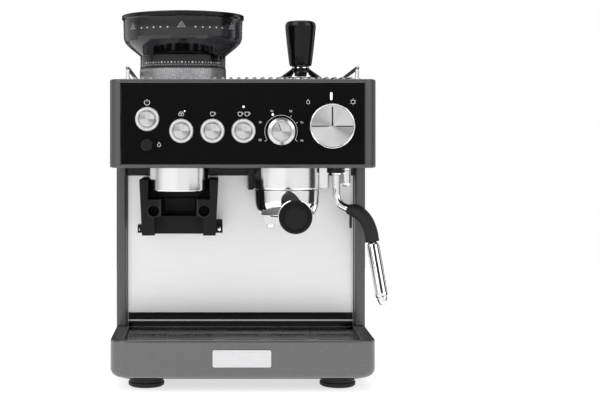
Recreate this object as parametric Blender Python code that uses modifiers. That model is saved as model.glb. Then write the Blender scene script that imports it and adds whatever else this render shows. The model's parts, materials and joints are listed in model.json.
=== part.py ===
"""Espresso machine with a built-in grinder, as separate pieces.

Metres, +Z up, front towards -Y. Lengths below are in the machine's own coordinates: X from the centre
plane, Y back from the front of the upper housing, Z up from the floor. The empty "machine" shifts them
so that the origin is the middle of the whole object's footprint.
"""
import math

import bmesh
import bpy
from mathutils import Vector

# Driving dimensions
GAP = 0.0003
BODY_WIDTH = 0.325
BODY_DEPTH = 0.262
HOUSING_BOTTOM = 0.274
HOUSING_TOP = 0.382
HOUSING_CORNER = 0.015
WALL = 0.003
BASE_BOTTOM = 0.0125
FOOT_RADIUS = 0.0225
BASE_FLOOR = 0.0170
BASE_TOP = 0.0645
TRAY_DEPTH = 0.1145
TRAY_CORNER = 0.022
TONGUE_HALF = 0.150
TONGUE_FRONT = 0.030
PILLAR_FRONT = 0.1155
PILLAR_WIDTH = 0.0133
SPLASH_Y = 0.132
FOOT_X = 0.120
FOOT_Y = (0.055, 0.235)
TANK_HALF_WIDTH = 0.100
TANK_FRONT = 0.2660
TANK_BACK = 0.3325
TANK_TOP = 0.330

HALF = BODY_WIDTH / 2
PILLAR_INNER = HALF - PILLAR_WIDTH
DECK_BOTTOM = HOUSING_BOTTOM + WALL + GAP
DECK_TOP = DECK_BOTTOM + 0.0025
PLATE_BOTTOM = HOUSING_TOP - WALL + GAP
PLATE_TOP = HOUSING_TOP + 0.0002
RIB_TOP = PLATE_TOP + 0.0040

# Axes of the working parts: X and Y
HOPPER = (-0.0758, 0.125)
MOTOR_Y = 0.190
GRINDER = (-0.0787, 0.050)
GROUP = (0.0566, 0.055)
TAMPER = (0.0817, 0.170)
HOT_WATER = (0.1323, 0.075)
WAND = Vector((0.1190, 0.060, 0.2675))

# Controls on the front panel: X and Z
BUTTONS = {
    "power_button": (-0.1164, 0.3336),
    "grind_button": (-0.0750, 0.3192),
    "single_cup_button": (-0.0371, 0.3192),
    "double_cup_button": (0.0006, 0.3192),
}
GRIND_DIAL = (-0.1164, 0.3023)
TEMPERATURE_DIAL = (0.0461, 0.3185)
STEAM_KNOB = (0.1070, 0.3250)
BUTTON_RADIUS = 0.0093
RING_RADIUS = 0.0143

COLLAR_RADIUS = 0.0415
COLLAR_BOTTOM = 0.2465
HANDLE_SLOPE = math.radians(6.6)
HANDLE_START = 0.0474
HANDLE_HEIGHT = 0.2350

# The whole object's footprint in machine coordinates
HANDLE_LENGTH = 0.1236
HANDLE_RIM = 0.0164
FRONT_END = (
    GROUP[1] - HANDLE_START - HANDLE_LENGTH * math.cos(HANDLE_SLOPE) - HANDLE_RIM * math.sin(HANDLE_SLOPE)
)
RIGHT_END = 0.1761
SHIFT = Vector(((HALF - RIGHT_END) / 2, -(FRONT_END + TANK_BACK) / 2, 0.0))

PARTS = "espresso_machine"
CUTTERS = "cutters"


def empty_scene():
    for item in list(bpy.data.objects):
        bpy.data.objects.remove(item, do_unlink=True)
    for name in (PARTS, CUTTERS):
        group = bpy.data.collections.get(name) or bpy.data.collections.new(name)
        if name not in bpy.context.scene.collection.children:
            bpy.context.scene.collection.children.link(group)


# ---------------------------------------------------------------- shapes

def add_object(name, data, place=(0, 0, 0), parent=None):
    """A new object at a place in machine coordinates, under an empty."""
    item = bpy.data.objects.new(name, data)
    bpy.data.collections[PARTS].objects.link(item)
    item.parent = parent or bpy.data.objects["machine"]
    item.location = Vector(place) - (parent.location if parent else Vector())
    return item


def machine_empty():
    """The empty that carries everything, shifted so that the origin is under the middle."""
    item = bpy.data.objects.new("machine", None)
    bpy.data.collections[PARTS].objects.link(item)
    item.location = SHIFT


def pivot(name, place):
    """An empty on a joint's axis, which carries the pieces that move together."""
    item = add_object(name, None, place)
    item.empty_display_size = 0.02
    return item


def mesh_object(name, shape, place, parent):
    mesh = bpy.data.meshes.new(name)
    bmesh.ops.recalc_face_normals(shape, faces=shape.faces)
    shape.to_mesh(mesh)
    shape.free()
    return add_object(name, mesh, place, parent)


def is_upright(edge):
    return abs(edge.verts[0].co.z - edge.verts[1].co.z) > 1e-6


def round_edges(shape, edges, width, segments):
    bmesh.ops.bevel(shape, geom=edges, offset=width, segments=segments, profile=0.5, affect="EDGES")


def block(name, low, high, parent=None, corner=0.0, steps=4, soften=0.0, soft_steps=1, front_only=False):
    """A box from its lowest to its highest corner. corner rounds its upright edges and soften its level
    ones; front_only leaves the two upright edges at the back square."""
    low, high = Vector(low), Vector(high)
    shape = bmesh.new()
    bmesh.ops.create_cube(shape, size=1.0)
    bmesh.ops.scale(shape, vec=high - low, verts=shape.verts)
    if corner:
        upright = [e for e in shape.edges if is_upright(e)]
        if front_only:
            upright = [e for e in upright if e.verts[0].co.y < 0]
        round_edges(shape, upright, corner, steps)
    if soften:
        top = (high.z - low.z) / 2
        level = [e for e in shape.edges if all(abs(abs(v.co.z) - top) < 1e-6 for v in e.verts)]
        round_edges(shape, [e for e in level if not is_upright(e)], soften, soft_steps)
    return mesh_object(name, shape, (low + high) / 2, parent)


def rod(name, start, end, radius, parent=None, sides=18, end_radius=None):
    """A straight round bar, or a cone, between two points."""
    start, end = Vector(start), Vector(end)
    shape = bmesh.new()
    bmesh.ops.create_cone(
        shape, cap_ends=True, segments=sides, radius1=radius,
        radius2=radius if end_radius is None else end_radius, depth=(end - start).length,
    )
    turn = Vector((0, 0, 1)).rotation_difference(end - start).to_matrix().to_4x4()
    bmesh.ops.transform(shape, matrix=turn, verts=shape.verts)
    return mesh_object(name, shape, (start + end) / 2, parent)


def turned(name, profile, place, parent=None, steps=24, ring=False, facing="up", tilt=0.0):
    """A turned piece. profile lists radius and height down the outer side; a ring's profile closes on
    itself. facing "front" turns its height towards the viewer, and tilt leans it downwards."""
    mesh = bpy.data.meshes.new(name)
    points = [(radius, 0.0, height) for radius, height in profile]
    edges = [(i, i + 1) for i in range(len(points) - 1)]
    if ring:
        edges.append((len(points) - 1, 0))
    mesh.from_pydata(points, edges, [])
    item = add_object(name, mesh, place, parent)
    spin = item.modifiers.new("turned", "SCREW")
    spin.angle = math.tau
    spin.steps = steps
    spin.render_steps = steps
    spin.use_merge_vertices = True
    spin.merge_threshold = 0.00001
    if facing == "front":
        item.rotation_euler.x = math.radians(90) + tilt
    if facing == "back":
        item.rotation_euler.x = math.radians(-90)
    if facing == "side":
        item.rotation_euler.y = math.radians(90)
    return item


def disc(name, radius, bottom, top, place, parent=None):
    """A turned disc between two heights."""
    return turned(name, [(0, top), (radius, top), (radius, bottom), (0, bottom)], place, parent)


def smooth_route(points, count):
    """Points along a smooth curve through the given ones (Catmull-Rom)."""
    points = [Vector(p) for p in points]
    ends = [2 * points[0] - points[1]] + points + [2 * points[-1] - points[-2]]
    route = []
    for i in range(len(points) - 1):
        before, start, end, after = ends[i:i + 4]
        for step in range(count):
            t = step / count
            route.append(0.5 * (
                2 * start + (end - before) * t
                + (2 * before - 5 * start + 4 * end - after) * t * t
                + (3 * start - before - 3 * end + after) * t ** 3
            ))
    return route + [points[-1]]


def tube(name, points, radius, parent=None, place=(0, 0, 0), resolution=3, swell=None):
    """A bent bar through points in machine coordinates; swell gives each point its share of radius."""
    curve = bpy.data.curves.new(name, "CURVE")
    curve.dimensions = "3D"
    curve.bevel_depth = radius
    curve.bevel_resolution = resolution
    curve.use_fill_caps = True
    line = curve.splines.new("POLY")
    line.points.add(len(points) - 1)
    for index, point in enumerate(points):
        line.points[index].co = (*(Vector(point) - Vector(place)), 1.0)
        if swell:
            line.points[index].radius = swell[index]
    return add_object(name, curve, place, parent)


def as_mesh(item):
    """The same piece as a mesh with its caps welded, so that it can be cut."""
    bpy.context.view_layer.update()
    graph = bpy.context.evaluated_depsgraph_get()
    mesh = bpy.data.meshes.new_from_object(item.evaluated_get(graph))
    shape = bmesh.new()
    shape.from_mesh(mesh)
    bmesh.ops.remove_doubles(shape, verts=shape.verts, dist=0.00001)
    bmesh.ops.recalc_face_normals(shape, faces=shape.faces)
    shape.to_mesh(mesh)
    shape.free()
    name, parent, location = item.name, item.parent, item.location.copy()
    bpy.data.objects.remove(item, do_unlink=True)
    piece = bpy.data.objects.new(name, mesh)
    bpy.data.collections[PARTS].objects.link(piece)
    piece.parent = parent
    piece.location = location
    return piece


def extruded(name, outline, front, back, place, parent=None):
    """A flat outline in X and Z, carried from front to back in Y."""
    shape = bmesh.new()
    face = shape.faces.new([shape.verts.new((x, front, z)) for x, z in outline])
    grown = bmesh.ops.extrude_face_region(shape, geom=[face])
    moved = [v for v in grown["geom"] if isinstance(v, bmesh.types.BMVert)]
    bmesh.ops.translate(shape, vec=(0, back - front, 0), verts=moved)
    return mesh_object(name, shape, place, parent)


def combine(target, operation, tools):
    for tool in tools:
        change = target.modifiers.new(operation.lower(), "BOOLEAN")
        change.operation = operation
        change.solver = "EXACT"
        change.object = tool
        tool.name = "cutter_" + target.name
        tool.hide_render = True
        tool.display_type = "WIRE"
        bpy.data.collections[PARTS].objects.unlink(tool)
        bpy.data.collections[CUTTERS].objects.link(tool)
    return target


def cut(target, *tools):
    return combine(target, "DIFFERENCE", tools)


def join(target, *tools):
    return combine(target, "UNION", tools)


# ---------------------------------------------------------------- looks

MATERIALS = {
    "housing_paint": ((0.065, 0.065, 0.068), 0.35, 0.6),
    "base_paint": ((0.105, 0.102, 0.104), 0.38, 0.6),
    "panel_gloss": ((0.004, 0.004, 0.004), 0.06, 0.0),
    "black_plastic": ((0.012, 0.012, 0.012), 0.4, 0.0),
    "black_gloss": ((0.008, 0.008, 0.008), 0.12, 0.0),
    "rubber": ((0.012, 0.012, 0.012), 0.7, 0.0),
    "mirror_steel": ((0.80, 0.80, 0.81), 0.05, 1.0),
    "brushed_steel": ((0.60, 0.60, 0.61), 0.28, 1.0),
    "chrome": ((0.80, 0.80, 0.82), 0.06, 1.0),
    "smoked_plastic": ((0.05, 0.05, 0.055), 0.08, 0.0),
    "grey_metal": ((0.32, 0.32, 0.33), 0.4, 0.8),
    "aluminium": ((0.70, 0.70, 0.71), 0.4, 1.0),
    "circuit_board": ((0.02, 0.12, 0.05), 0.5, 0.0),
    "silicone": ((0.30, 0.08, 0.05), 0.6, 0.0),
    "tank_plastic": ((0.16, 0.17, 0.18), 0.15, 0.0),
}


def colour(item, look):
    """Each piece has its own copy of the look's material."""
    tint, roughness, metallic = MATERIALS[look]
    material = bpy.data.materials.new(f"{item.name}_{look}")
    material.use_nodes = True
    shader = material.node_tree.nodes["Principled BSDF"]
    shader.inputs["Base Color"].default_value = (*tint, 1.0)
    shader.inputs["Roughness"].default_value = roughness
    shader.inputs["Metallic"].default_value = metallic
    item.data.materials.append(material)
    return item


# ---------------------------------------------------------------- base

def base_pan():
    body = block(
        "base_pan", (-HALF, PILLAR_FRONT, BASE_BOTTOM), (HALF, BODY_DEPTH, BASE_TOP), corner=0.004, steps=2
    )
    tray_bay = block(
        "bay", (-PILLAR_INNER, PILLAR_FRONT - 0.01, BASE_FLOOR), (PILLAR_INNER, BODY_DEPTH - 0.012, 0.1)
    )
    tongue = block(
        "tongue", (-TONGUE_HALF, TONGUE_FRONT, BASE_BOTTOM + 0.0002),
        (TONGUE_HALF, TONGUE_FRONT + 0.120, BASE_FLOOR - 0.0002), corner=0.012, front_only=True,
    )
    shelf = block(
        "shelf", (-TANK_HALF_WIDTH - 0.004, 0.250, BASE_BOTTOM + 0.0004),
        (TANK_HALF_WIDTH + 0.004, TANK_BACK, BASE_TOP - 0.0004),
    )
    hollow = block(
        "hollow", (-TANK_HALF_WIDTH, BODY_DEPTH + 0.002, 0.0), (TANK_HALF_WIDTH, TANK_BACK - 0.004, 0.0605)
    )
    valve_hole = rod("valve_hole", (0.060, 0.300, 0.05), (0.060, 0.300, 0.08), 0.0105)
    cut(body, tray_bay)
    join(body, tongue, shelf)
    cut(body, hollow, valve_hole)
    colour(body, "black_plastic")


def feet():
    names = {
        "foot_front_left": (-FOOT_X, FOOT_Y[0]), "foot_front_right": (FOOT_X, FOOT_Y[0]),
        "foot_rear_left": (-FOOT_X, FOOT_Y[1]), "foot_rear_right": (FOOT_X, FOOT_Y[1]),
    }
    top = BASE_BOTTOM - GAP
    profile = [(0, top), (FOOT_RADIUS - 0.0015, top), (FOOT_RADIUS, 0.0015), (FOOT_RADIUS - 0.0014, 0), (0, 0)]
    for name, (x, y) in names.items():
        colour(turned(name, profile, (x, y, 0), steps=20), "rubber")


def cord_gland():
    """Turned towards the back; the cord itself would leave through its bore."""
    profile = [(0.0045, 0.0100), (0.0075, 0.0100), (0.0090, 0.0035), (0.0120, 0.0030),
               (0.0120, 0.0000), (0.0045, 0.0000)]
    place = (0.132, BODY_DEPTH + GAP, 0.038)
    colour(turned("cord_gland", profile, place, steps=16, ring=True, facing="back"), "rubber")


# ---------------------------------------------------------------- drip tray

def drip_tray(slider):
    tray = block(
        "drip_tray", (-HALF, 0.0, BASE_FLOOR + 0.0005), (HALF, TRAY_DEPTH, BASE_TOP), slider,
        corner=TRAY_CORNER, steps=6, soften=0.0035, soft_steps=2, front_only=True,
    )
    rear = block(
        "rear", (-0.1485, 0.090, BASE_FLOOR + 0.0007), (0.1485, 0.128, 0.0600), slider
    )
    basin = block(
        "basin", (-0.1425, 0.0105, 0.0215), (0.1425, 0.1245, 0.0800), slider, corner=0.006, steps=3
    )
    rebate = block(
        "rebate", (-0.1455, 0.0075, 0.0592), (0.1455, 0.1400, 0.0900), slider, corner=0.008, steps=3,
        front_only=True,
    )
    join(tray, rear)
    cut(tray, basin, rebate)
    colour(tray, "base_paint")
    badge = block("badge_plate", (-0.0370, -0.0013, 0.0325), (0.0342, -GAP, 0.0536), slider)
    colour(badge, "brushed_steel")


def drip_grid(lifter):
    grid = block(
        "drip_grid", (-0.1449, 0.0081, 0.0595), (0.1449, 0.1275, 0.0611), lifter, corner=0.0075, steps=3,
        front_only=True,
    )
    slots = []
    for column in range(5):
        for row in range(3):
            x = -0.116 + column * 0.058
            y = 0.028 + row * 0.038
            slots.append(block("slot", (x - 0.0215, y - 0.0020, 0.05), (x + 0.0215, y + 0.0020, 0.07), lifter))
    cut(grid, *slots)
    colour(grid, "mirror_steel")


# ---------------------------------------------------------------- lower body

def side_panels():
    for name, side in (("side_panel_left", -1), ("side_panel_right", 1)):
        outer, inner = side * HALF, side * PILLAR_INNER
        panel = block(
            name, (min(outer, inner), PILLAR_FRONT, BASE_TOP + GAP),
            (max(outer, inner), BODY_DEPTH, HOUSING_BOTTOM - GAP), corner=0.003, steps=2,
        )
        reach = side * (HALF - 0.0028)
        pocket = block(
            "pocket", (min(reach, side * 0.14), SPLASH_Y + 0.006, 0.076),
            (max(reach, side * 0.14), BODY_DEPTH - 0.006, 0.264),
        )
        cut(panel, pocket)
        colour(panel, "housing_paint")


def splash_panel():
    sheet = block(
        "splash_panel", (-PILLAR_INNER + 0.0004, SPLASH_Y, BASE_FLOOR + 0.0005),
        (PILLAR_INNER - 0.0004, SPLASH_Y + 0.0012, DECK_BOTTOM - GAP),
    )
    colour(sheet, "mirror_steel")


def back_panel():
    sheet = block(
        "back_panel", (-PILLAR_INNER + 0.0004, BODY_DEPTH - 0.004, BASE_TOP + GAP),
        (PILLAR_INNER - 0.0004, BODY_DEPTH - 0.001, HOUSING_BOTTOM - GAP),
    )
    vents = []
    for row in range(6):
        z = 0.180 + row * 0.012
        vents.append(block("vent", (0.112, BODY_DEPTH - 0.01, z), (0.140, BODY_DEPTH + 0.01, z + 0.004)))
    cut(sheet, *vents)
    colour(sheet, "black_plastic")


# ---------------------------------------------------------------- upper housing

def upper_housing():
    shell = block(
        "upper_housing", (-HALF, 0, HOUSING_BOTTOM), (HALF, BODY_DEPTH, HOUSING_TOP),
        corner=HOUSING_CORNER, steps=5, soften=0.0022, soft_steps=1,
    )
    inner, lip = HALF - WALL, HALF - 0.0065
    cavity = block(
        "cavity", (-inner, WALL, HOUSING_BOTTOM + WALL), (inner, BODY_DEPTH - WALL, HOUSING_TOP - 0.006),
        corner=HOUSING_CORNER - WALL, steps=5,
    )
    mouth = block(
        "mouth", (-lip, 0.0065, HOUSING_BOTTOM - 0.01), (lip, BODY_DEPTH - 0.0065, HOUSING_TOP + 0.01),
        corner=HOUSING_CORNER - 0.0065, steps=5,
    )
    seat = block(
        "seat", (-inner, WALL, HOUSING_TOP - WALL), (inner, BODY_DEPTH - WALL, HOUSING_TOP + 0.01),
        corner=HOUSING_CORNER - WALL, steps=5,
    )
    window = block("window", (-0.1490, -0.01, 0.2785), (0.1490, 0.005, 0.3774))
    cut(shell, cavity, mouth, seat, window)
    colour(shell, "housing_paint")


def front_panel():
    panel = block("front_panel", (-0.1487, 0.0002, 0.2788), (0.1487, 0.0029, 0.3771))
    holes = [rod("hole", (x, -0.02, z), (x, 0.02, z), RING_RADIUS + 0.0004, sides=20)
             for x, z in BUTTONS.values()]
    for (x, z), radius in ((GRIND_DIAL, 0.0034), (TEMPERATURE_DIAL, 0.0036), (STEAM_KNOB, 0.0048)):
        holes.append(rod("hole", (x, -0.02, z), (x, 0.02, z), radius, sides=16))
    cut(panel, *holes)
    colour(panel, "panel_gloss")


def top_plate():
    """The cup-warming plate: ribs run from front to back, cleared where the hopper and tamper stand."""
    half, rib_half, pitch, width = HALF - WALL - GAP, 0.1335, 0.00975, 0.0042
    count = round(2 * rib_half / pitch)
    wide = half + 0.002
    outline = [(-wide, PLATE_BOTTOM), (wide, PLATE_BOTTOM), (wide, PLATE_TOP)]
    for index in range(count, -1, -1):
        middle = -count * pitch / 2 + index * pitch
        outline += [(middle + width / 2, PLATE_TOP), (middle + width / 3, RIB_TOP),
                    (middle - width / 3, RIB_TOP), (middle - width / 2, PLATE_TOP)]
    outline.append((-wide, PLATE_TOP))
    plate = extruded("top_plate", outline, 0.0, BODY_DEPTH, (0, 0, 0))
    rounded = block(
        "rounded", (-half, WALL + GAP, 0.36), (half, BODY_DEPTH - WALL - GAP, 0.40),
        corner=HOUSING_CORNER - WALL - GAP, steps=5,
    )
    burr_hole = rod("burr_hole", (*HOPPER, 0.36), (*HOPPER, 0.42), 0.0507, sides=28)
    ring_seat = rod("ring_seat", (*HOPPER, PLATE_TOP - 0.0003), (*HOPPER, 0.42), 0.0572, sides=28)
    dock = rod("dock", (*TAMPER, PLATE_TOP - 0.0005), (*TAMPER, 0.42), 0.0305, sides=24)
    combine(plate, "INTERSECT", [rounded])
    cut(plate, burr_hole, ring_seat, dock)
    colour(plate, "brushed_steel")


def underside_panel():
    """The deck of the upper housing, with the flange above the cups and the bracket of the group."""
    deck = block(
        "underside_panel", (-HALF + WALL + GAP, WALL + GAP, DECK_BOTTOM),
        (HALF - WALL - GAP, BODY_DEPTH - WALL - GAP, DECK_TOP), corner=HOUSING_CORNER - WALL, steps=5,
    )
    x, y = GROUP
    flange = block("flange", (-PILLAR_INNER + 0.0006, 0.121, 0.2605), (PILLAR_INNER - 0.0006, 0.1315, 0.2790))
    rear_bracket = block("rear_bracket", (x - 0.0488, y + 0.0430, 0.2445), (x + 0.0480, 0.1220, 0.2788))
    side_bracket = block("side_bracket", (x - 0.0486, y + 0.0070, 0.2447), (x - 0.0420, y + 0.050, 0.2786))
    socket = turned(
        "socket", [(0.0080, 0.2785), (0.0080, 0.2660), (0.0066, 0.2660), (0.0066, 0.2785)],
        (WAND.x, WAND.y, 0), steps=16, ring=True,
    )
    motor_hole = rod("motor_hole", (HOPPER[0], MOTOR_Y, 0.27), (HOPPER[0], MOTOR_Y, 0.29), 0.0365, sides=20)
    chute_hole = rod("chute_hole", (*GRINDER, 0.27), (*GRINDER, 0.29), 0.0120, sides=16)
    steam_hole = rod("steam_hole", (WAND.x, WAND.y, 0.27), (WAND.x, WAND.y, 0.29), 0.0040, sides=12)
    join(deck, flange, rear_bracket, side_bracket, socket)
    cut(deck, motor_hole, chute_hole, steam_hole)
    colour(deck, "black_gloss")


def cup_rails():
    """A bar along each side of the top, highest over its front post."""
    x, foot = 0.1417, PLATE_TOP + GAP
    for name, side in (("cup_rail_left", -1), ("cup_rail_right", 1)):
        route = [(0.030, foot), (0.030, 0.3940), (0.0312, 0.3962), (0.0340, 0.3968),
                 (0.1960, 0.3905), (0.1988, 0.3893), (0.2000, 0.3870), (0.2000, foot)]
        points = [(side * x, y, z) for y, z in route]
        colour(tube(name, points, 0.0024, place=(side * x, 0.115, foot), resolution=2), "chrome")


# ---------------------------------------------------------------- controls

def controls(pivots):
    for name, (x, z) in BUTTONS.items():
        profile = [(0, 0.0022), (BUTTON_RADIUS - 0.0010, 0.0030), (BUTTON_RADIUS, 0.0022),
                   (BUTTON_RADIUS, -0.0072), (0, -0.0072)]
        cap = turned(name, profile, (x, 0, z), pivots[name], steps=20, facing="front")
        colour(cap, "brushed_steel")
    xs = [x for x, _ in BUTTONS.values()]
    frame = block("button_frame", (min(xs) - 0.0165, 0.0033, 0.3045), (max(xs) + 0.0165, 0.0048, 0.3505))
    rings, bores = [], []
    for x, z in BUTTONS.values():
        rings.append(turned(
            "ring", [(RING_RADIUS - 0.0012, 0.0026), (RING_RADIUS, 0.0016), (RING_RADIUS, -0.0044),
                     (0.0080, -0.0044), (0.0080, 0.0026)],
            (x, 0, z), steps=18, ring=True, facing="front",
        ))
        bores.append(rod("bore", (x, -0.02, z), (x, 0.02, z), 0.0099, sides=20))
    x, z = GRIND_DIAL
    bores.append(rod("bore", (x, -0.02, z), (x, 0.02, z), 0.0060, sides=16))
    join(frame, *rings)
    cut(frame, *bores)
    colour(frame, "chrome")

    x, z = GRIND_DIAL
    profile = [(0, 0.0100), (0.0064, 0.0100), (0.0072, 0.0090), (0.0078, 0.0006), (0.0028, 0.0006),
               (0.0028, -0.0100), (0, -0.0100)]
    colour(turned("grind_dial", profile, (x, 0, z), pivots["grind_dial"], 16, facing="front"), "black_gloss")

    x, z = TEMPERATURE_DIAL
    profile = [(0, 0.0125), (0.0118, 0.0130), (0.0128, 0.0122), (0.0150, 0.0035), (0.0168, 0.0025),
               (0.0168, 0.0005), (0.0030, 0.0005), (0.0030, -0.0100), (0, -0.0100)]
    dial = turned("temperature_dial", profile, (x, 0, z), pivots["temperature_dial"], 22, facing="front")
    colour(dial, "brushed_steel")

    x, z = STEAM_KNOB
    profile = [(0, 0.0175), (0.0258, 0.0175), (0.0272, 0.0162), (0.0290, 0.0020), (0.0282, 0.0006),
               (0.0040, 0.0006), (0.0040, -0.0145), (0, -0.0145)]
    colour(turned("steam_knob", profile, (x, 0, z), pivots["steam_knob"], 28, facing="front"), "chrome")

    board = block("control_board", (-0.1400, 0.0115, 0.2870), (0.0720, 0.0131, 0.3560))
    switches = [rod("switch", (x, 0.0097, z), (x, 0.0125, z), 0.0030, sides=12) for x, z in BUTTONS.values()]
    join(board, *switches)
    colour(board, "circuit_board")


def steam_valve():
    x, z = STEAM_KNOB
    body = rod("steam_valve", (x, 0.0150, z), (x, 0.0520, z), 0.0110)
    outlet = rod("outlet", (WAND.x, WAND.y, z), (WAND.x, WAND.y, DECK_TOP + GAP), 0.0060, sides=16)
    bridge = block("bridge", (x - 0.004, 0.045, z - 0.0075), (WAND.x + 0.004, WAND.y + 0.004, z + 0.0075))
    join(body, bridge, outlet)
    colour(body, "aluminium")


# ---------------------------------------------------------------- grinder

def hopper(turner, lidder, gater):
    x, y = HOPPER
    profile = [
        (0.0798, 0.4675), (0.0798, 0.4650), (0.0780, 0.4632), (0.0776, 0.4395), (0.0735, 0.4315),
        (0.0558, 0.4165), (0.0558, 0.4003), (0.0536, 0.4003), (0.0536, 0.4128), (0.0330, 0.4062),
        (0.0330, 0.4090), (0.0540, 0.4163), (0.0718, 0.4330), (0.0755, 0.4403), (0.0758, 0.4675),
    ]
    colour(turned("hopper_body", profile, (x, y, 0), turner, steps=30, ring=True), "smoked_plastic")
    profile = [
        (0, 0.4762), (0.0500, 0.4754), (0.0785, 0.4728), (0.0800, 0.4708), (0.0800, 0.4679),
        (0.0752, 0.4679), (0.0752, 0.4640), (0.0732, 0.4640), (0.0732, 0.4700), (0, 0.4722),
    ]
    colour(turned("hopper_lid", profile, (x, y, 0), lidder, steps=30), "smoked_plastic")
    gate = disc("hopper_gate", 0.0350, 0.4104, 0.4124, (x, y, 0), gater)
    post = rod("post", (x, y, 0.4110), (x, y, 0.4400), 0.0060, gater, sides=16)
    bar = block("bar", (x - 0.0175, y - 0.0045, 0.4368), (x + 0.0175, y + 0.0045, 0.4434), gater)
    holes = []
    for index in range(3):
        angle = math.radians(90 + 120 * index)
        middle = (x + 0.020 * math.cos(angle), y + 0.020 * math.sin(angle))
        holes.append(rod("hole", (*middle, 0.40), (*middle, 0.42), 0.0100, gater, sides=16))
    join(gate, post, bar)
    cut(gate, *holes)
    colour(gate, "black_plastic")


def grinder():
    x, y = HOPPER
    profile = [(0.0560, 0.3998), (0.0565, 0.3990), (0.0565, PLATE_TOP), (0.0508, PLATE_TOP), (0.0508, 0.3998)]
    colour(turned("hopper_seat_ring", profile, (x, y, 0), steps=28, ring=True), "grey_metal")

    profile = [(0.0502, 0.3985), (0.0502, 0.3000), (0.0056, 0.3000), (0.0056, 0.3030), (0.0472, 0.3030),
               (0.0472, 0.3985)]
    chamber = turned("burr_chamber", profile, (x, y, 0), steps=24, ring=True)
    gx, gy = GRINDER
    chute = block("chute", (gx - 0.015, gy - 0.0125, DECK_TOP + GAP), (gx + 0.015, 0.0850, 0.3260))
    core = rod("core", (x, y, 0.3030), (x, y, 0.41), 0.0472, sides=24)
    mouth = rod("mouth", (gx, gy, 0.27), (gx, gy, 0.3100), 0.0105, sides=16)
    passage = block("passage", (gx - 0.012, gy - 0.0095, 0.3060), (gx + 0.012, 0.0900, 0.3230))
    join(chamber, chute)
    cut(chamber, core, mouth, passage)
    colour(chamber, "aluminium")

    motor = turned(
        "grinder_motor", [(0, 0.2960), (0.0340, 0.2960), (0.0340, 0.1560), (0.0310, 0.1520), (0.0100, 0.1520),
                          (0.0100, 0.1460), (0, 0.1460)],
        (x, MOTOR_Y, 0), steps=20,
    )
    gearbox = block("gearbox", (x - 0.036, 0.0900, DECK_TOP + 0.0008), (x + 0.036, 0.2270, 0.2990))
    shaft_hole = rod("shaft_hole", (x, y, 0.2850), (x, y, 0.31), 0.0056, sides=16)
    join(motor, gearbox)
    cut(motor, shaft_hole)
    colour(motor, "black_plastic")

    collar = turned(
        "grinder_collar", [(0.0363, DECK_BOTTOM - GAP), (0.0373, 0.2762), (0.0373, 0.2455), (0.0366, 0.2448),
                           (0.0348, 0.2448), (0.0348, 0.2740), (0.0125, 0.2740), (0.0125, DECK_BOTTOM - GAP)],
        (gx, gy, 0), steps=28, ring=True,
    )
    colour(collar, "chrome")


def burrs(turner, spinner):
    x, y = HOPPER
    profile = [(0.0455, 0.3720), (0.0455, 0.3520), (0.0300, 0.3520), (0.0235, 0.3545), (0.0300, 0.3720)]
    burr = turned("upper_burr", profile, (x, y, 0), turner, steps=24, ring=True)
    teeth = []
    for index in range(8):
        angle = math.tau * index / 8
        turn = Vector((math.cos(angle), math.sin(angle), 0))
        start = Vector((x, y, 0.3745)) + turn * 0.020
        end = Vector((x, y, 0.3720)) + turn * 0.037
        teeth.append(rod("tooth", start, end, 0.0028, turner, sides=4))
    cut(burr, *teeth)
    colour(burr, "grey_metal")

    profile = [(0, 0.3740), (0.0060, 0.3730), (0.0125, 0.3690), (0.0195, 0.3545), (0.0200, 0.3490),
               (0.0400, 0.3490), (0.0400, 0.3455), (0.0050, 0.3455), (0.0050, 0.2880), (0, 0.2880)]
    colour(turned("lower_burr", profile, (x, y, 0), spinner, steps=20), "grey_metal")


def portafilter_cradle(pusher):
    """The black fork that holds the portafilter under the grinder outlet."""
    gx, gy = GRINDER
    back = SPLASH_Y - 0.0005
    outline = [(-0.0490, 0.2585), (-0.0455, 0.1897), (0.0455, 0.1897), (0.0490, 0.2585)]
    cradle = extruded("portafilter_cradle", outline, 0.030 - gy, back - gy, (gx, gy, 0))
    ears = block("ears", (gx - 0.0530, 0.064, 0.1903), (gx + 0.0545, 0.088, 0.2000))
    tall_ear = block("tall_ear", (gx + 0.0400, 0.068, 0.1990), (gx + 0.0543, 0.084, 0.2065))
    around_collar = rod("around_collar", (gx, gy, 0.2437), (gx, gy, 0.30), 0.0379, sides=28)
    ahead = block("ahead", (gx - 0.0379, 0.0, 0.2437), (gx + 0.0379, gy, 0.30))
    wide_bay = block("wide_bay", (gx - 0.0385, 0.0, 0.2340), (gx + 0.0385, 0.098, 0.2440))
    bay = block("bay", (gx - 0.0218, 0.0, 0.2120), (gx + 0.0218, 0.102, 0.2345))
    below = block("below", (gx - 0.0300, 0.0, 0.18), (gx + 0.0300, 0.058, 0.2125))
    pockets = [rod("pocket", (gx + side * 0.0312, 0.0, 0.2200), (gx + side * 0.0312, 0.072, 0.2200), 0.0072,
                   sides=16) for side in (-1, 1)]
    join(cradle, ears, tall_ear)
    cut(cradle, around_collar, ahead, wide_bay, bay, below, *pockets)
    colour(cradle, "black_plastic")
    paddle = block("cradle_switch", (gx - 0.0200, 0.0925, 0.2150), (gx + 0.0200, 0.0975, 0.2332), pusher)
    colour(paddle, "black_plastic")


# ---------------------------------------------------------------- brew group

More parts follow.
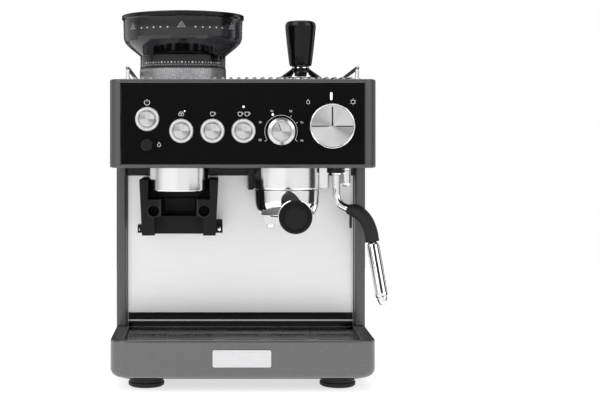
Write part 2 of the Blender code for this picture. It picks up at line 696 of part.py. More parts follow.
def brew_group():
    x, y = GROUP
    top = DECK_BOTTOM - GAP
    profile = [(0, top), (0.0403, top), (COLLAR_RADIUS, top - 0.0012), (COLLAR_RADIUS, COLLAR_BOTTOM + 0.0010),
               (0.0407, COLLAR_BOTTOM), (0, COLLAR_BOTTOM)]
    collar = turned("group_collar", profile, (x, y, 0), steps=30)
    cover = block(
        "cover", (x + 0.020, y + 0.003, COLLAR_BOTTOM + 0.0004), (x + 0.0538, y + 0.0420, top - 0.0003),
        corner=0.006, steps=3,
    )
    bore = rod("bore", (x, y, 0.2503), (x, y, 0.30), 0.0398, sides=30)
    lip = rod("lip", (x, y, 0.24), (x, y, 0.26), 0.0358, sides=30)
    slot = block("slot", (-0.0390, -0.0110, 0.2400), (0.0390, 0.0110, 0.2600))
    slot.location = (x, y, 0.25)
    slot.rotation_euler.z = math.radians(-45)
    join(collar, cover)
    cut(collar, bore, lip, slot)
    colour(collar, "chrome")

    profile = [(0, top), (0.0392, top), (0.0392, 0.2660), (0.0275, 0.2660), (0.0275, 0.2610), (0, 0.2610)]
    colour(turned("group_head", profile, (x, y, 0), steps=24), "aluminium")
    profile = [(0.0350, 0.2657), (0.0350, 0.2573), (0.0300, 0.2573), (0.0300, 0.2657)]
    colour(turned("group_gasket", profile, (x, y, 0), steps=24, ring=True), "silicone")
    colour(disc("shower_screen", 0.0285, 0.2575, 0.2606, (x, y, 0)), "mirror_steel")


def handle_point(distance):
    """A point on the handle's axis, so far from the group's axis."""
    reach = distance - HANDLE_START
    return Vector((
        GROUP[0], GROUP[1] - HANDLE_START - reach * math.cos(HANDLE_SLOPE),
        HANDLE_HEIGHT - reach * math.sin(HANDLE_SLOPE),
    ))


def portafilter(twist):
    x, y = GROUP
    profile = [
        (0, 0.2560), (0.0352, 0.2560), (0.0352, 0.2458), (0.0405, 0.2456), (0.0407, 0.2440),
        (0.0400, 0.2300), (0.0385, 0.2225), (0.0360, 0.2165), (0.0318, 0.2128), (0, 0.2128),
    ]
    body = turned("portafilter_body", profile, (x, y, 0), twist, steps=28)
    ears = block("ears", (x - 0.0384, y - 0.0070, 0.2509), (x + 0.0384, y + 0.0070, 0.2550), twist)
    boss = rod("boss", handle_point(0.0345), handle_point(HANDLE_START - 0.0004), 0.0097, twist)
    well = rod("well", (x, y, 0.2172), (x, y, 0.27), 0.0310, twist, sides=28)
    outlet = rod("outlet", (x, y, 0.20), (x, y, 0.23), 0.0055, twist, sides=16)
    join(body, ears, boss)
    cut(body, well, outlet)
    colour(body, "chrome")

    half_top, half_bottom, bottom, top = 0.0300, 0.0262, 0.2022, 0.2124
    outline = [(-half_top, top), (-half_top, top - 0.004), (-half_bottom, bottom), (half_bottom, bottom),
               (half_top, top - 0.004), (half_top, top)]
    spout = extruded("portafilter_spout", outline, -0.0115, 0.0115, (x, y, 0), twist)
    outlets, bores = [], []
    for side in (-1, 1):
        middle = (x + side * 0.0205, y)
        outlets.append(rod("outlet", (*middle, 0.1985), (*middle, 0.2060), 0.0046, twist, 20, 0.0052))
        bores.append(rod("bore", (*middle, 0.19), (*middle, 0.2075), 0.0030, twist, sides=12))
    channel = block("channel", (x - 0.0235, y - 0.0070, 0.2065), (x + 0.0235, y + 0.0070, 0.2200), twist)
    join(spout, *outlets)
    cut(spout, channel, *bores)
    colour(spout, "chrome")

    profile = [
        (0, 0), (0.0092, 0), (0.0104, 0.0060), (0.0122, 0.0450), (0.0164, 0.0980), (0.0178, 0.1080),
        (0.0160, 0.1083), (0.0160, 0.1113), (0.0186, 0.1116), (0.0190, 0.1150), (HANDLE_RIM, HANDLE_LENGTH),
        (0, 0.1222),
    ]
    start = handle_point(HANDLE_START)
    grip = turned("portafilter_handle", profile[::-1], start, twist, 20, facing="front", tilt=HANDLE_SLOPE)
    colour(grip, "black_gloss")
    profile = [(0.0186, 0.1112), (0.0194, 0.1106), (0.0194, 0.1090), (0.0186, 0.1085), (0.0163, 0.1085),
               (0.0163, 0.1112)]
    ring = turned("handle_ring", profile, start, twist, 20, ring=True, facing="front", tilt=HANDLE_SLOPE)
    colour(ring, "chrome")

    profile = [(0, 0.2206), (0.0293, 0.2206), (0.0296, 0.2569), (0.0345, 0.2569), (0.0345, 0.2563),
               (0.0304, 0.2563), (0.0300, 0.2200), (0, 0.2200)]
    colour(turned("filter_basket", profile, (x, y, 0), twist, steps=24), "mirror_steel")


# ---------------------------------------------------------------- steam wand and hot water

def steam_wand(tilter, swivel):
    ball = bmesh.new()
    bmesh.ops.create_uvsphere(ball, u_segments=14, v_segments=8, radius=0.0062)
    ball_piece = mesh_object("steam_ball", ball, WAND, tilter)
    seat = rod("seat", WAND + Vector((0, 0, -0.0035)), WAND + Vector((0, 0, -0.02)), 0.0075, tilter)
    cut(ball_piece, seat)
    colour(ball_piece, "chrome")

    drop = WAND + Vector((0, 0, -0.0039))
    upper = smooth_route([
        drop, (0.1190, 0.0600, 0.2480), (0.1196, 0.0594, 0.2365), (0.1235, 0.0560, 0.2268),
        (0.1330, 0.0515, 0.2215), (0.1440, 0.0460, 0.2180), (0.1535, 0.0410, 0.2085),
        (0.1590, 0.0370, 0.1950), (0.1612, 0.0350, 0.1815),
    ], 2)
    end, tip = Vector((0.1612, 0.0350, 0.1815)), Vector((0.1688, 0.0010, 0.1165))
    slim, thick = 0.0050, 0.0078
    lower = [end.lerp(tip, share) for share in (0.03, 0.07, 0.5, 0.94, 1.0)]
    swell = [slim / thick] * len(upper) + [slim / thick, 0.92, 1.0, 1.0, 0.86]
    wand = tube("steam_wand_tube", upper + lower, thick, swivel, WAND, 2, swell)
    colour(wand, "chrome")

    grip_route = upper[8:]
    start_side = grip_route[0] + (grip_route[0] - grip_route[1]).normalized() * 0.004
    end_side = grip_route[-1] + (grip_route[-1] - grip_route[-2]).normalized() * 0.010
    sleeve = as_mesh(tube("steam_wand_grip", grip_route, 0.0088, swivel, WAND, 2,
                          [0.74, 0.86, 0.95] + [1.0] * (len(grip_route) - 3)))
    bore = as_mesh(tube("grip_bore", [start_side] + grip_route + [end_side], 0.0060, swivel, WAND, 2))
    tab = block("tab", (0.1345, 0.0480, 0.1975), (0.1375, 0.0530, 0.2165), swivel)
    join(sleeve, tab)
    cut(sleeve, bore)
    colour(sleeve, "rubber")

    away = (tip - end).normalized()
    nozzle = rod("steam_tip", tip + away * 0.0004, tip + away * 0.0085, 0.0064, swivel, 20, 0.0036)
    hole = rod("hole", tip + away * 0.004, tip + away * 0.012, 0.0012, swivel, sides=8)
    cut(nozzle, hole)
    colour(nozzle, "chrome")


def hot_water_spout():
    x, y = HOT_WATER
    profile = [(0.0068, DECK_BOTTOM - GAP), (0.0068, 0.2535), (0.0058, 0.2500), (0.0036, 0.2484),
               (0.0028, 0.2484), (0.0028, DECK_BOTTOM - GAP)]
    colour(turned("hot_water_spout", profile, (x, y, 0), steps=18, ring=True), "chrome")


# ---------------------------------------------------------------- water

def water_parts(lifter, lidder):
    w = TANK_HALF_WIDTH
    tank = block(
        "water_tank", (-w, TANK_FRONT, BASE_TOP + 0.0035), (w, TANK_BACK, TANK_TOP), lifter, corner=0.010, steps=3
    )
    inside = block(
        "inside", (-w + 0.0025, TANK_FRONT + 0.0025, BASE_TOP + 0.0070),
        (w - 0.0025, TANK_BACK - 0.0025, TANK_TOP + 0.02), lifter, corner=0.008, steps=3,
    )
    valve = rod("valve", (0.060, 0.300, 0.0605), (0.060, 0.300, BASE_TOP + 0.005), 0.0090, lifter, sides=16)
    cut(tank, inside)
    join(tank, valve)
    colour(tank, "tank_plastic")
    lid = block(
        "tank_lid", (-w, TANK_FRONT, TANK_TOP + GAP), (w, TANK_BACK, TANK_TOP + 0.0040), lidder,
        corner=0.010, steps=3,
    )
    colour(lid, "black_plastic")

    y, z = 0.190, 0.110
    pump = turned(
        "pump", [(0, 0.055), (0.0080, 0.055), (0.0080, 0.040), (0.0200, 0.040), (0.0200, 0.020), (0.0170, 0.018),
                 (0.0170, -0.030), (0.0090, -0.032), (0.0060, -0.060), (0, -0.060)],
        (0.035, y, z), steps=18, facing="side",
    )
    colour(pump, "black_plastic")
    heater = block("thermoblock", (0.005, 0.140, DECK_TOP + GAP), (0.100, 0.235, 0.3200))
    fins = [block("fin", (-0.01, 0.148 + 0.016 * i, 0.3120), (0.11, 0.156 + 0.016 * i, 0.3300))
            for i in range(5)]
    cut(heater, *fins)
    colour(heater, "aluminium")


# ---------------------------------------------------------------- tamper

def tamper(lifter):
    x, y = TAMPER
    low = PLATE_TOP - 0.0002
    profile = [(0, 0.4060), (0.0110, 0.4060), (0.0118, 0.4035), (0.0150, 0.4005), (0.0288, 0.3905),
               (0.0290, 0.3890), (0.0290, low), (0, low)]
    colour(turned("tamper_base", profile, (x, y, 0), lifter, steps=24), "chrome")
    profile = [(0, 0.4670), (0.0170, 0.4665), (0.0196, 0.4645), (0.0205, 0.4600), (0.0203, 0.4560),
               (0.0156, 0.4120), (0.0150, 0.4080), (0.0130, 0.4063), (0, 0.4063)]
    colour(turned("tamper_handle", profile, (x, y, 0), lifter, steps=24), "black_gloss")


def build():
    empty_scene()
    machine_empty()
    pivots = {name: pivot(name + "_axis", (x, 0, z)) for name, (x, z) in {
        **BUTTONS, "grind_dial": GRIND_DIAL, "temperature_dial": TEMPERATURE_DIAL, "steam_knob": STEAM_KNOB,
    }.items()}
    hopper_axis = pivot("hopper_axis", (*HOPPER, 0.40))
    tray_slide = pivot("tray_slide", (0, 0, BASE_FLOOR))
    tank_slide = pivot("tank_slide", (0, TANK_FRONT, BASE_TOP))
    portafilter_axis = pivot("portafilter_axis", (*GROUP, COLLAR_BOTTOM))
    wand_axis = pivot("wand_axis", WAND)

    base_pan()
    feet()
    cord_gland()
    drip_tray(tray_slide)
    drip_grid(tray_slide)
    side_panels()
    splash_panel()
    back_panel()
    upper_housing()
    front_panel()
    top_plate()
    underside_panel()
    cup_rails()
    controls(pivots)
    steam_valve()
    hopper(hopper_axis, hopper_axis, hopper_axis)
    grinder()
    burrs(hopper_axis, hopper_axis)
    portafilter_cradle(pivot("switch_slide", (GRINDER[0], 0.0925, 0.2250)))
    brew_group()
    portafilter(portafilter_axis)
    steam_wand(wand_axis, wand_axis)
    hot_water_spout()
    water_parts(tank_slide, pivot("tank_lid_axis", (0, TANK_FRONT + 0.001, TANK_TOP + 0.004)))
    tamper(pivot("tamper_lift", (*TAMPER, PLATE_TOP)))


build()
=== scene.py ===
"""The looks of the espresso machine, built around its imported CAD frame.

Lengths are metres. Most places are in the machine's own coordinates: X from its centre plane, Y back from
the front of the upper housing, Z up from the floor. ORIGIN carries them into the frame.
"""
import json
import math

import bmesh
import bpy
from mathutils import Matrix, Vector

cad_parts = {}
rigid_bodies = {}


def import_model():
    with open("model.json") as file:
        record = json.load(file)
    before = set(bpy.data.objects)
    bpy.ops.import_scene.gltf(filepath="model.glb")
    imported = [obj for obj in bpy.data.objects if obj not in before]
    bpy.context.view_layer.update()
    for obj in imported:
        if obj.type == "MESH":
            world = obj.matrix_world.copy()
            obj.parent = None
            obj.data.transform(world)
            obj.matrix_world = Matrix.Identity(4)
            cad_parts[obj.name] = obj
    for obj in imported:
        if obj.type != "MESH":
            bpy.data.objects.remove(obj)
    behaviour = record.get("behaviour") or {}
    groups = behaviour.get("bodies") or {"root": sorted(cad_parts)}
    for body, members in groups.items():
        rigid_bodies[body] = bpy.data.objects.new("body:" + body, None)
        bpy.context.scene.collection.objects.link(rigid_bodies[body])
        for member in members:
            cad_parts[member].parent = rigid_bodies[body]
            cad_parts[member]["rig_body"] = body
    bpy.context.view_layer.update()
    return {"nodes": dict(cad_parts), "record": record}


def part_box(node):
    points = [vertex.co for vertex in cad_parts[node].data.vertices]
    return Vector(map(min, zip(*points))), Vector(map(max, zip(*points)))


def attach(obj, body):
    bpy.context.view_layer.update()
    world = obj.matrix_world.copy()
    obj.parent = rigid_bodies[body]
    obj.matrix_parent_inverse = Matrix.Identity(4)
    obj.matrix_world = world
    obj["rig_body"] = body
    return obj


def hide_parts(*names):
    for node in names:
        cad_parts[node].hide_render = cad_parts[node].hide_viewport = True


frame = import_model()
HOUSING_LOW, HOUSING_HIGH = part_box("upper_housing")
ORIGIN = Vector(((HOUSING_LOW.x + HOUSING_HIGH.x) / 2, HOUSING_LOW.y, 0.0))


def machine_box(node):
    """A CAD node's corners in machine coordinates."""
    low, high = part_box(node)
    return low - ORIGIN, high - ORIGIN


def middle(node):
    low, high = machine_box(node)
    return (low + high) / 2


# ------------------------------------------------------------ places read from the frame

HALF = (HOUSING_HIGH.x - HOUSING_LOW.x) / 2
DEPTH = HOUSING_HIGH.y - HOUSING_LOW.y
HOUSING_BOTTOM = HOUSING_LOW.z
HOUSING_TOP = HOUSING_HIGH.z
HOPPER = middle("hopper_body").to_2d()
GRINDER = middle("grinder_collar").to_2d()
GROUP = middle("shower_screen").to_2d()
TAMPER = middle("tamper_base").to_2d()
HOT_WATER = middle("hot_water_spout").to_2d()
WAND = middle("steam_ball")
BUTTONS = ("power_button", "grind_button", "single_cup_button", "double_cup_button")
WALL = 0.003
PANEL_FACE = machine_box("front_panel")[0].y
PRINT = 0.00008
RIB_SHARE = 0.62
HANDLE_DIP = math.radians(6.6)
POINTER_TURN = 22
WAND_CENTRE = Vector((WAND.x, WAND.y, 0.2675))
WHITE = (1.0, 1.0, 1.0, 1.0)


# ------------------------------------------------------------ meshes

def placed(name, data):
    """A new object in the scene."""
    item = bpy.data.objects.new(name, data)
    bpy.context.scene.collection.objects.link(item)
    return item


def mesh_from(shape, normals=True):
    """A finished mesh from a bmesh."""
    if normals:
        bmesh.ops.recalc_face_normals(shape, faces=shape.faces)
    mesh = bpy.data.meshes.new("shape")
    shape.to_mesh(mesh)
    shape.free()
    return mesh


def moved(mesh, place=(0, 0, 0), turn=(0, 0, 0)):
    """The mesh turned about its origin by Euler angles in degrees, then moved."""
    rotation = Matrix.Identity(4)
    for angle, axis in zip(turn, "XYZ"):
        rotation = Matrix.Rotation(math.radians(angle), 4, axis) @ rotation
    mesh.transform(Matrix.Translation(Vector(place)) @ rotation)
    return mesh


def plan(low, high, inset, corner, steps, front_only):
    """A rectangle with round corners, drawn in by the inset, anticlockwise from its left front corner."""
    radius = max(corner - inset, 0.0) if corner else 0.0
    places = ((low.x, low.y, 1, 1, 180), (high.x, low.y, -1, 1, 270), (high.x, high.y, -1, -1, 0),
              (low.x, high.y, 1, -1, 90))
    points = []
    for x, y, across, back, start in places:
        x += across * inset
        y += back * inset * (0 if front_only and back < 0 else 1)
        if radius < 1e-6 or (front_only and back < 0):
            points.append((x, y))
            continue
        for step in range(steps + 1):
            angle = math.radians(start + 90 * step / steps)
            points.append((x + across * radius + radius * math.cos(angle),
                           y + back * radius + radius * math.sin(angle)))
    return points


def box(low, high, corner=0.0, steps=10, soften=0.0, bottom=None, soft_steps=4, front_only=False):
    """A box between two corners. corner rounds its upright edges. soften rounds its level ones, and
    bottom gives the lower ones their own inset and height."""
    low, high = Vector(low), Vector(high)
    top = (soften, soften)
    bottom = bottom or top
    levels = []
    for step in range(soft_steps + 1 if bottom[0] else 1):
        turn = math.pi / 2 * step / soft_steps
        levels.append((bottom[0] * (1 - math.sin(turn)), low.z + bottom[1] * (1 - math.cos(turn))))
    for step in range(soft_steps + 1 if top[0] else 1):
        turn = math.pi / 2 * step / soft_steps
        levels.append((top[0] * (1 - math.cos(turn)), high.z - top[1] * (1 - math.sin(turn))))
    shape = bmesh.new()
    loops = []
    for inset, height in levels:
        outline = plan(low, high, inset, corner, steps, front_only)
        loops.append([shape.verts.new((x, y, height)) for x, y in outline])
    for lower, upper in zip(loops, loops[1:]):
        for i in range(len(lower)):
            j = (i + 1) % len(lower)
            shape.faces.new((lower[i], lower[j], upper[j], upper[i]))
    shape.faces.new(loops[0][::-1])
    shape.faces.new(loops[-1])
    return mesh_from(shape)


def rod(start, end, radius, end_radius=None, sides=48):
    """A round bar or a cone between two points."""
    start, end = Vector(start), Vector(end)
    shape = bmesh.new()
    bmesh.ops.create_cone(
        shape, cap_ends=True, segments=sides, radius1=radius,
        radius2=radius if end_radius is None else end_radius, depth=(end - start).length,
    )
    turn = Vector((0, 0, 1)).rotation_difference(end - start).to_matrix().to_4x4()
    bmesh.ops.transform(shape, matrix=Matrix.Translation((start + end) / 2) @ turn, verts=shape.verts)
    return mesh_from(shape)


def filleted(profile, radius, steps=3, closed=False):
    """The profile with each corner sharper than about 15 degrees rounded to the radius, where it fits."""
    points = [Vector(p) for p in profile]
    count = len(points)
    rounded = []
    for index, corner in enumerate(points):
        if not closed and index in (0, count - 1):
            rounded.append(corner)
            continue
        before, after = points[index - 1] - corner, points[(index + 1) % count] - corner
        bend = before.angle(after, math.pi)
        if bend > math.radians(165) or corner.x < 1e-6:
            rounded.append(corner)
            continue
        reach = min(radius / math.tan(bend / 2), before.length * 0.45, after.length * 0.45)
        start, end = corner + before.normalized() * reach, corner + after.normalized() * reach
        for step in range(steps + 1):
            t = step / steps
            rounded.append(start.lerp(corner, t).lerp(corner.lerp(end, t), t))
    return [tuple(p) for p in rounded]


def lathe(profile, steps=96, closed=False, fillet=0.0, fillet_steps=3):
    """A turned mesh about Z from radius and height pairs; a closed profile makes a ring."""
    if fillet:
        profile = filleted(profile, fillet, fillet_steps, closed)
    shape = bmesh.new()
    verts = [shape.verts.new((radius, 0.0, height)) for radius, height in profile]
    edges = [shape.edges.new(pair) for pair in zip(verts, verts[1:])]
    if closed:
        edges.append(shape.edges.new((verts[-1], verts[0])))
    bmesh.ops.spin(
        shape, geom=verts + edges, cent=(0, 0, 0), axis=(0, 0, 1), angle=math.tau, steps=steps, use_merge=True
    )
    bmesh.ops.remove_doubles(shape, verts=shape.verts, dist=1e-6)
    return mesh_from(shape)


def rods_round(ring, count, low, high, radius, top_ring=None, sides=48, start=0.0):
    """Rods spaced evenly round the Z axis; top_ring is the circle of their upper ends."""
    rods = []
    for index in range(count):
        angle = start + math.tau * index / count
        ends = [(reach * math.cos(angle), reach * math.sin(angle), height)
                for reach, height in ((ring, low), (top_ring or ring, high))]
        rods.append(rod(*ends, radius, sides=sides))
    return rods


def prism(outline, start, end):
    """A flat outline in X and Z, carried along Y."""
    shape = bmesh.new()
    face = shape.faces.new([shape.verts.new((x, start, z)) for x, z in outline])
    grown = bmesh.ops.extrude_face_region(shape, geom=[face])
    far = [v for v in grown["geom"] if isinstance(v, bmesh.types.BMVert)]
    bmesh.ops.translate(shape, vec=(0, end - start, 0), verts=far)
    return mesh_from(shape)


def smooth_route(points, count):
    """Points along a smooth curve through the given ones (Catmull-Rom)."""
    points = [Vector(p) for p in points]
    ends = [2 * points[0] - points[1]] + points + [2 * points[-1] - points[-2]]
    route = []
    for i in range(len(points) - 1):
        before, start, end, after = ends[i:i + 4]
        for step in range(count):
            t = step / count
            route.append(0.5 * (
                2 * start + (end - before) * t
                + (2 * before - 5 * start + 4 * end - after) * t * t
                + (3 * start - before - 3 * end + after) * t ** 3
            ))
    return route + [points[-1]]


def tube(points, radius, swell=None, resolution=8, cyclic=False):
    """A bent bar through points; swell gives each point its share of the radius."""
    curve = bpy.data.curves.new("route", "CURVE")
    curve.dimensions = "3D"
    curve.bevel_depth = radius
    curve.bevel_resolution = resolution
    curve.use_fill_caps = not cyclic
    line = curve.splines.new("POLY")
    line.points.add(len(points) - 1)
    line.use_cyclic_u = cyclic
    for index, point in enumerate(points):
        line.points[index].co = (*point, 1.0)
        if swell:
            line.points[index].radius = swell[index]
    return from_curve(curve)


def from_curve(curve):
    """A curve or text as a mesh with its caps welded."""
    item = placed("route", curve)
    bpy.context.view_layer.update()
    graph = bpy.context.evaluated_depsgraph_get()
    mesh = bpy.data.meshes.new_from_object(item.evaluated_get(graph))
    bpy.data.objects.remove(item)
    shape = bmesh.new()
    shape.from_mesh(mesh)
    bmesh.ops.remove_doubles(shape, verts=shape.verts, dist=1e-6)
    return mesh_from(shape)


def carve(mesh, operation, *tools):
    """The mesh after one Boolean with each tool mesh in turn."""
    target = placed("target", mesh)
    helpers = []
    for tool in tools:
        helper = placed("tool", tool)
        change = target.modifiers.new("change", "BOOLEAN")
        change.operation = operation
        change.solver = "EXACT"
        change.object = helper
        helpers.append(helper)
    bpy.context.view_layer.update()
    graph = bpy.context.evaluated_depsgraph_get()
    result = bpy.data.meshes.new_from_object(target.evaluated_get(graph))
    for item in [target] + helpers:
        bpy.data.objects.remove(item)
    return result


def cut(mesh, *tools):
    return carve(mesh, "DIFFERENCE", *tools)


def join(mesh, *tools):
    return carve(mesh, "UNION", *tools)


def gathered(meshes):
    """Separate solids in one mesh, such as a set of marks."""
    shape = bmesh.new()
    for mesh in meshes:
        shape.from_mesh(mesh)
    return mesh_from(shape, normals=False)


def flattened(mesh):
    """The mesh with its flat faces whole, so that a bevel runs cleanly round them."""
    shape = bmesh.new()
    shape.from_mesh(mesh)
    bmesh.ops.remove_doubles(shape, verts=shape.verts, dist=1e-6)
    bmesh.ops.dissolve_limit(shape, angle_limit=math.radians(0.5), verts=shape.verts, edges=shape.edges,
                             use_dissolve_boundaries=False)
    return mesh_from(shape)


# ------------------------------------------------------------ pieces

def piece(name, mesh, body, look, place=(0, 0, 0), turn=(0, 0, 0), stands_for=(), slot="", bevel=0.0,
          sharp=32.0, local=False):
    """A finished piece. Its mesh is in machine coordinates, or about its own place where local is true.
    The slot argument is not used."""
    place = Vector(place)
    if not local:
        mesh.transform(Matrix.Translation(-place))
    mesh.materials.clear()
    mesh.materials.append(LOOKS[look])
    mesh.shade_smooth()
    mesh.set_sharp_from_angle(angle=math.radians(sharp))
    item = placed(name, mesh)
    item.location = ORIGIN + place
    item.rotation_euler = [math.radians(angle) for angle in turn]
    if bevel:
        edge = item.modifiers.new("edge", "BEVEL")
        edge.limit_method = "ANGLE"
        edge.angle_limit = math.radians(sharp)
        edge.width = bevel
        edge.segments = 2
        edge.use_clamp_overlap = True
    shading = item.modifiers.new("shading", "WEIGHTED_NORMAL")
    shading.keep_sharp = True
    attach(item, body)
    if stands_for:
        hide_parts(*stands_for)
    if slot == "":
        slot = look
    return item


def upright(name, mesh, body, look, axis, **options):
    """A piece drawn about an upright axis, which is given by its X and Y."""
    return piece(name, mesh, body, look, (*axis, 0), local=True, **options)


def control(name, mesh, body, look, spot, **options):
    """A piece drawn about its own axis, which points out of the front panel at the spot."""
    return piece(name, mesh, body, look, (spot.x, 0, spot.z), turn=(90, 0, 0), local=True, **options)


def refined(node, look, bevel=0.0005, sharp=32.0, cutters=()):
    """A CAD node's own shape with softened edges, less the cutters, as a piece with a better finish."""
    source = frame["nodes"][node]
    mesh = flattened(source.data)
    mesh.transform(Matrix.Translation(-ORIGIN))
    if cutters:
        mesh = flattened(cut(mesh, *cutters))
    slots = {part["node"]: part["material_slot"] for part in frame["record"]["subparts"]}
    return piece(
        node + "_finish", mesh, source["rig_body"], look, middle(node), stands_for=[node], slot=slots[node],
        bevel=bevel, sharp=sharp,
    )


# ------------------------------------------------------------ materials

LOOKS = {}
GRAIN_DEPTH = 0.0001
RING_DEPTH = 0.00005
# How far the painted highlight and shade wedges of spun steel swing its colour.
WEDGE_PAINTED_LIGHT = 0.34


def fill(tree, target, inputs):
    """Sets each input to its value, or links it where the value is another node's output."""
    for name, value in inputs.items():
        if isinstance(value, bpy.types.NodeSocket):
            tree.links.new(value, target.inputs[name])
        else:
            target.inputs[name].default_value = value


def add_node(tree, kind, inputs=None, **settings):
    made = tree.nodes.new("ShaderNode" + kind)
    for name, value in settings.items():
        setattr(made, name, value)
    fill(tree, made, inputs or {})
    return made


def ramp_of(tree, source, stops, interpolation="LINEAR"):
    """Grey levels along a value."""
    ramp = add_node(tree, "ValToRGB", {"Fac": source})
    ramp.color_ramp.interpolation = interpolation
    while len(ramp.color_ramp.elements) < len(stops):
        ramp.color_ramp.elements.new(0.5)
    for element, (position, level) in zip(ramp.color_ramp.elements, stops):
        element.position = position
        element.color = (level, level, level, 1.0)
    return ramp.outputs["Color"]


def product(tree, first, second):
    mix = add_node(tree, "Mix", {"Factor": 1.0, "A": first, "B": second}, data_type="RGBA",
                   blend_type="MULTIPLY")
    return mix.outputs["Result"]


def finish(name, tint, roughness, metallic=0.0, spread=0.08, grain=900, bump=0.05, rough_spread=0.04,
           blotch=9.0, detail=3.0, specular=0.5, sockets=None):
    """A procedural finish: fine grain in its colour and bump, and broad soft changes in its roughness."""
    look = LOOKS[name] = bpy.data.materials.new(name)
    look.use_nodes = True
    tree = look.node_tree
    place = add_node(tree, "TexCoord").outputs["Object"]
    scale = grain if isinstance(grain, tuple) else (grain, grain, grain)
    stretch = add_node(tree, "Mapping", {"Scale": scale, "Vector": place})
    fine = add_node(tree, "TexNoise", {"Scale": 1.0, "Detail": detail, "Vector": stretch.outputs["Vector"]})
    broad = add_node(tree, "TexNoise", {"Scale": blotch, "Detail": 2.0, "Vector": place})
    ramp = add_node(tree, "ValToRGB", {"Fac": fine.outputs["Fac"]})
    for element, position, share in zip(ramp.color_ramp.elements, (0.3, 0.7), (1 - spread, 1 + spread)):
        element.position = position
        element.color = (*[min(1.0, channel * share) for channel in tint], 1.0)
    span = add_node(tree, "MapRange", {
        "From Min": 0.3, "From Max": 0.7, "To Min": max(0.0, roughness - rough_spread),
        "To Max": roughness + rough_spread, "Value": broad.outputs["Fac"]})
    inputs = {"Base Color": ramp.outputs["Color"], "Roughness": span.outputs["Result"], "Metallic": metallic,
              "Specular IOR Level": specular}
    if bump:
        relief = add_node(tree, "Bump", {"Strength": bump, "Distance": GRAIN_DEPTH,
                                         "Height": fine.outputs["Fac"]})
        inputs["Normal"] = relief.outputs["Normal"]
    fill(tree, tree.nodes["Principled BSDF"], inputs | (sockets or {}))
    return look


def varied(look, share, inputs=None):
    """The finish with its colour multiplied by a share, and more of its shader's inputs filled."""
    tree = look.node_tree
    shader = tree.nodes["Principled BSDF"]
    colour = shader.inputs["Base Color"].links[0].from_socket
    fill(tree, shader, {"Base Color": product(tree, colour, share)} | (inputs or {}))


def spun(name, tint, roughness):
    """Steel faced on a lathe: fine rings about the piece's own axis, and soft wedges of painted highlight and
    shade set by angle.
    """
    look = finish(name, tint, roughness, metallic=1.0, spread=0.04, bump=0.0, sockets={"Anisotropic": 0.7})
    tree = look.node_tree
    place = add_node(tree, "TexCoord").outputs["Object"]
    tangent = add_node(tree, "Tangent", direction_type="RADIAL", axis="Z")
    waves = add_node(tree, "TexWave", {"Scale": 1500.0, "Distortion": 1.2, "Detail": 2.0, "Vector": place},
                     wave_type="RINGS", rings_direction="Z")
    relief = add_node(tree, "Bump", {"Strength": 0.12, "Distance": RING_DEPTH,
                                     "Height": waves.outputs["Fac"]})
    around = add_node(tree, "TexGradient", {"Vector": place}, gradient_type="RADIAL")
    # Colour made lighter and darker in wedges round the axis: painted highlight and shade for the bow-tie
    # reflections of spun metal.
    painted_light_swings = ((0.0, -0.5), (0.03, 0.8), (0.083, 1.0), (0.16, 0.2), (0.25, 0.4), (0.36, -0.3), (0.44, -1.3),
              (0.495, -1.0), (0.505, 0.5), (0.583, 1.0), (0.68, 0.0), (0.75, 0.3), (0.86, -0.4),
              (0.944, -1.0), (1.0, -0.6))
    stops = [(position, min(1.0, (1 + swing * WEDGE_PAINTED_LIGHT) * 0.9)) for position, swing in painted_light_swings]
    varied(look, ramp_of(tree, around.outputs["Fac"], stops, "EASE"),
           {"Tangent": tangent.outputs["Tangent"], "Normal": relief.outputs["Normal"]})


def flaked(name, tint, roughness):
    """Metallic paint: fine bright flakes under a thin clear coat."""
    look = finish(name, tint, roughness, metallic=0.55, spread=0.10, grain=1800, bump=0.03,
                  sockets={"Coat Weight": 0.35, "Coat Roughness": 0.18})
    tree = look.node_tree
    place = add_node(tree, "TexCoord").outputs["Object"]
    flakes = add_node(tree, "TexVoronoi", {"Scale": 1600.0, "Vector": place})
    level = add_node(tree, "MapRange", {"To Min": 0.85, "To Max": 1.25, "Value": flakes.outputs["Color"]})
    varied(look, level.outputs["Result"])


flaked("housing_paint", (0.080, 0.080, 0.083), 0.36)
flaked("base_paint", (0.122, 0.119, 0.121), 0.36)
finish("panel_gloss", (0.0035, 0.0035, 0.0037), 0.06, spread=0.2, bump=0.0, rough_spread=0.02,
       specular=0.05)
finish("black_gloss", (0.004, 0.004, 0.0045), 0.12, spread=0.2, bump=0.02, specular=0.28)
finish("black_plastic", (0.006, 0.006, 0.0065), 0.38, spread=0.25, bump=0.3, grain=1400, specular=0.18)
finish("lever_grey", (0.20, 0.20, 0.205), 0.45, spread=0.15, bump=0.2, grain=1500)
finish("handle_black", (0.005, 0.005, 0.0055), 0.60, spread=0.2, bump=0.1, grain=1800, specular=0.12)
finish("black_satin", (0.020, 0.020, 0.021), 0.50, spread=0.2, bump=0.2, grain=1800, specular=0.3)
finish("rubber", (0.012, 0.012, 0.012), 0.50, spread=0.2, bump=0.25, grain=1100, specular=0.3)
finish("chrome", (0.84, 0.84, 0.85), 0.07, metallic=1.0, spread=0.02, bump=0.01, rough_spread=0.02,
       blotch=30.0)
finish("collar_steel", (0.86, 0.86, 0.865), 0.17, metallic=1.0, spread=0.02, grain=(15, 15, 1200),
       bump=0.03, rough_spread=0.02, blotch=30.0)
finish("mirror_steel", (0.76, 0.76, 0.765), 0.34, metallic=1.0, spread=0.02, grain=(15, 15, 900), bump=0.03,
       rough_spread=0.02)
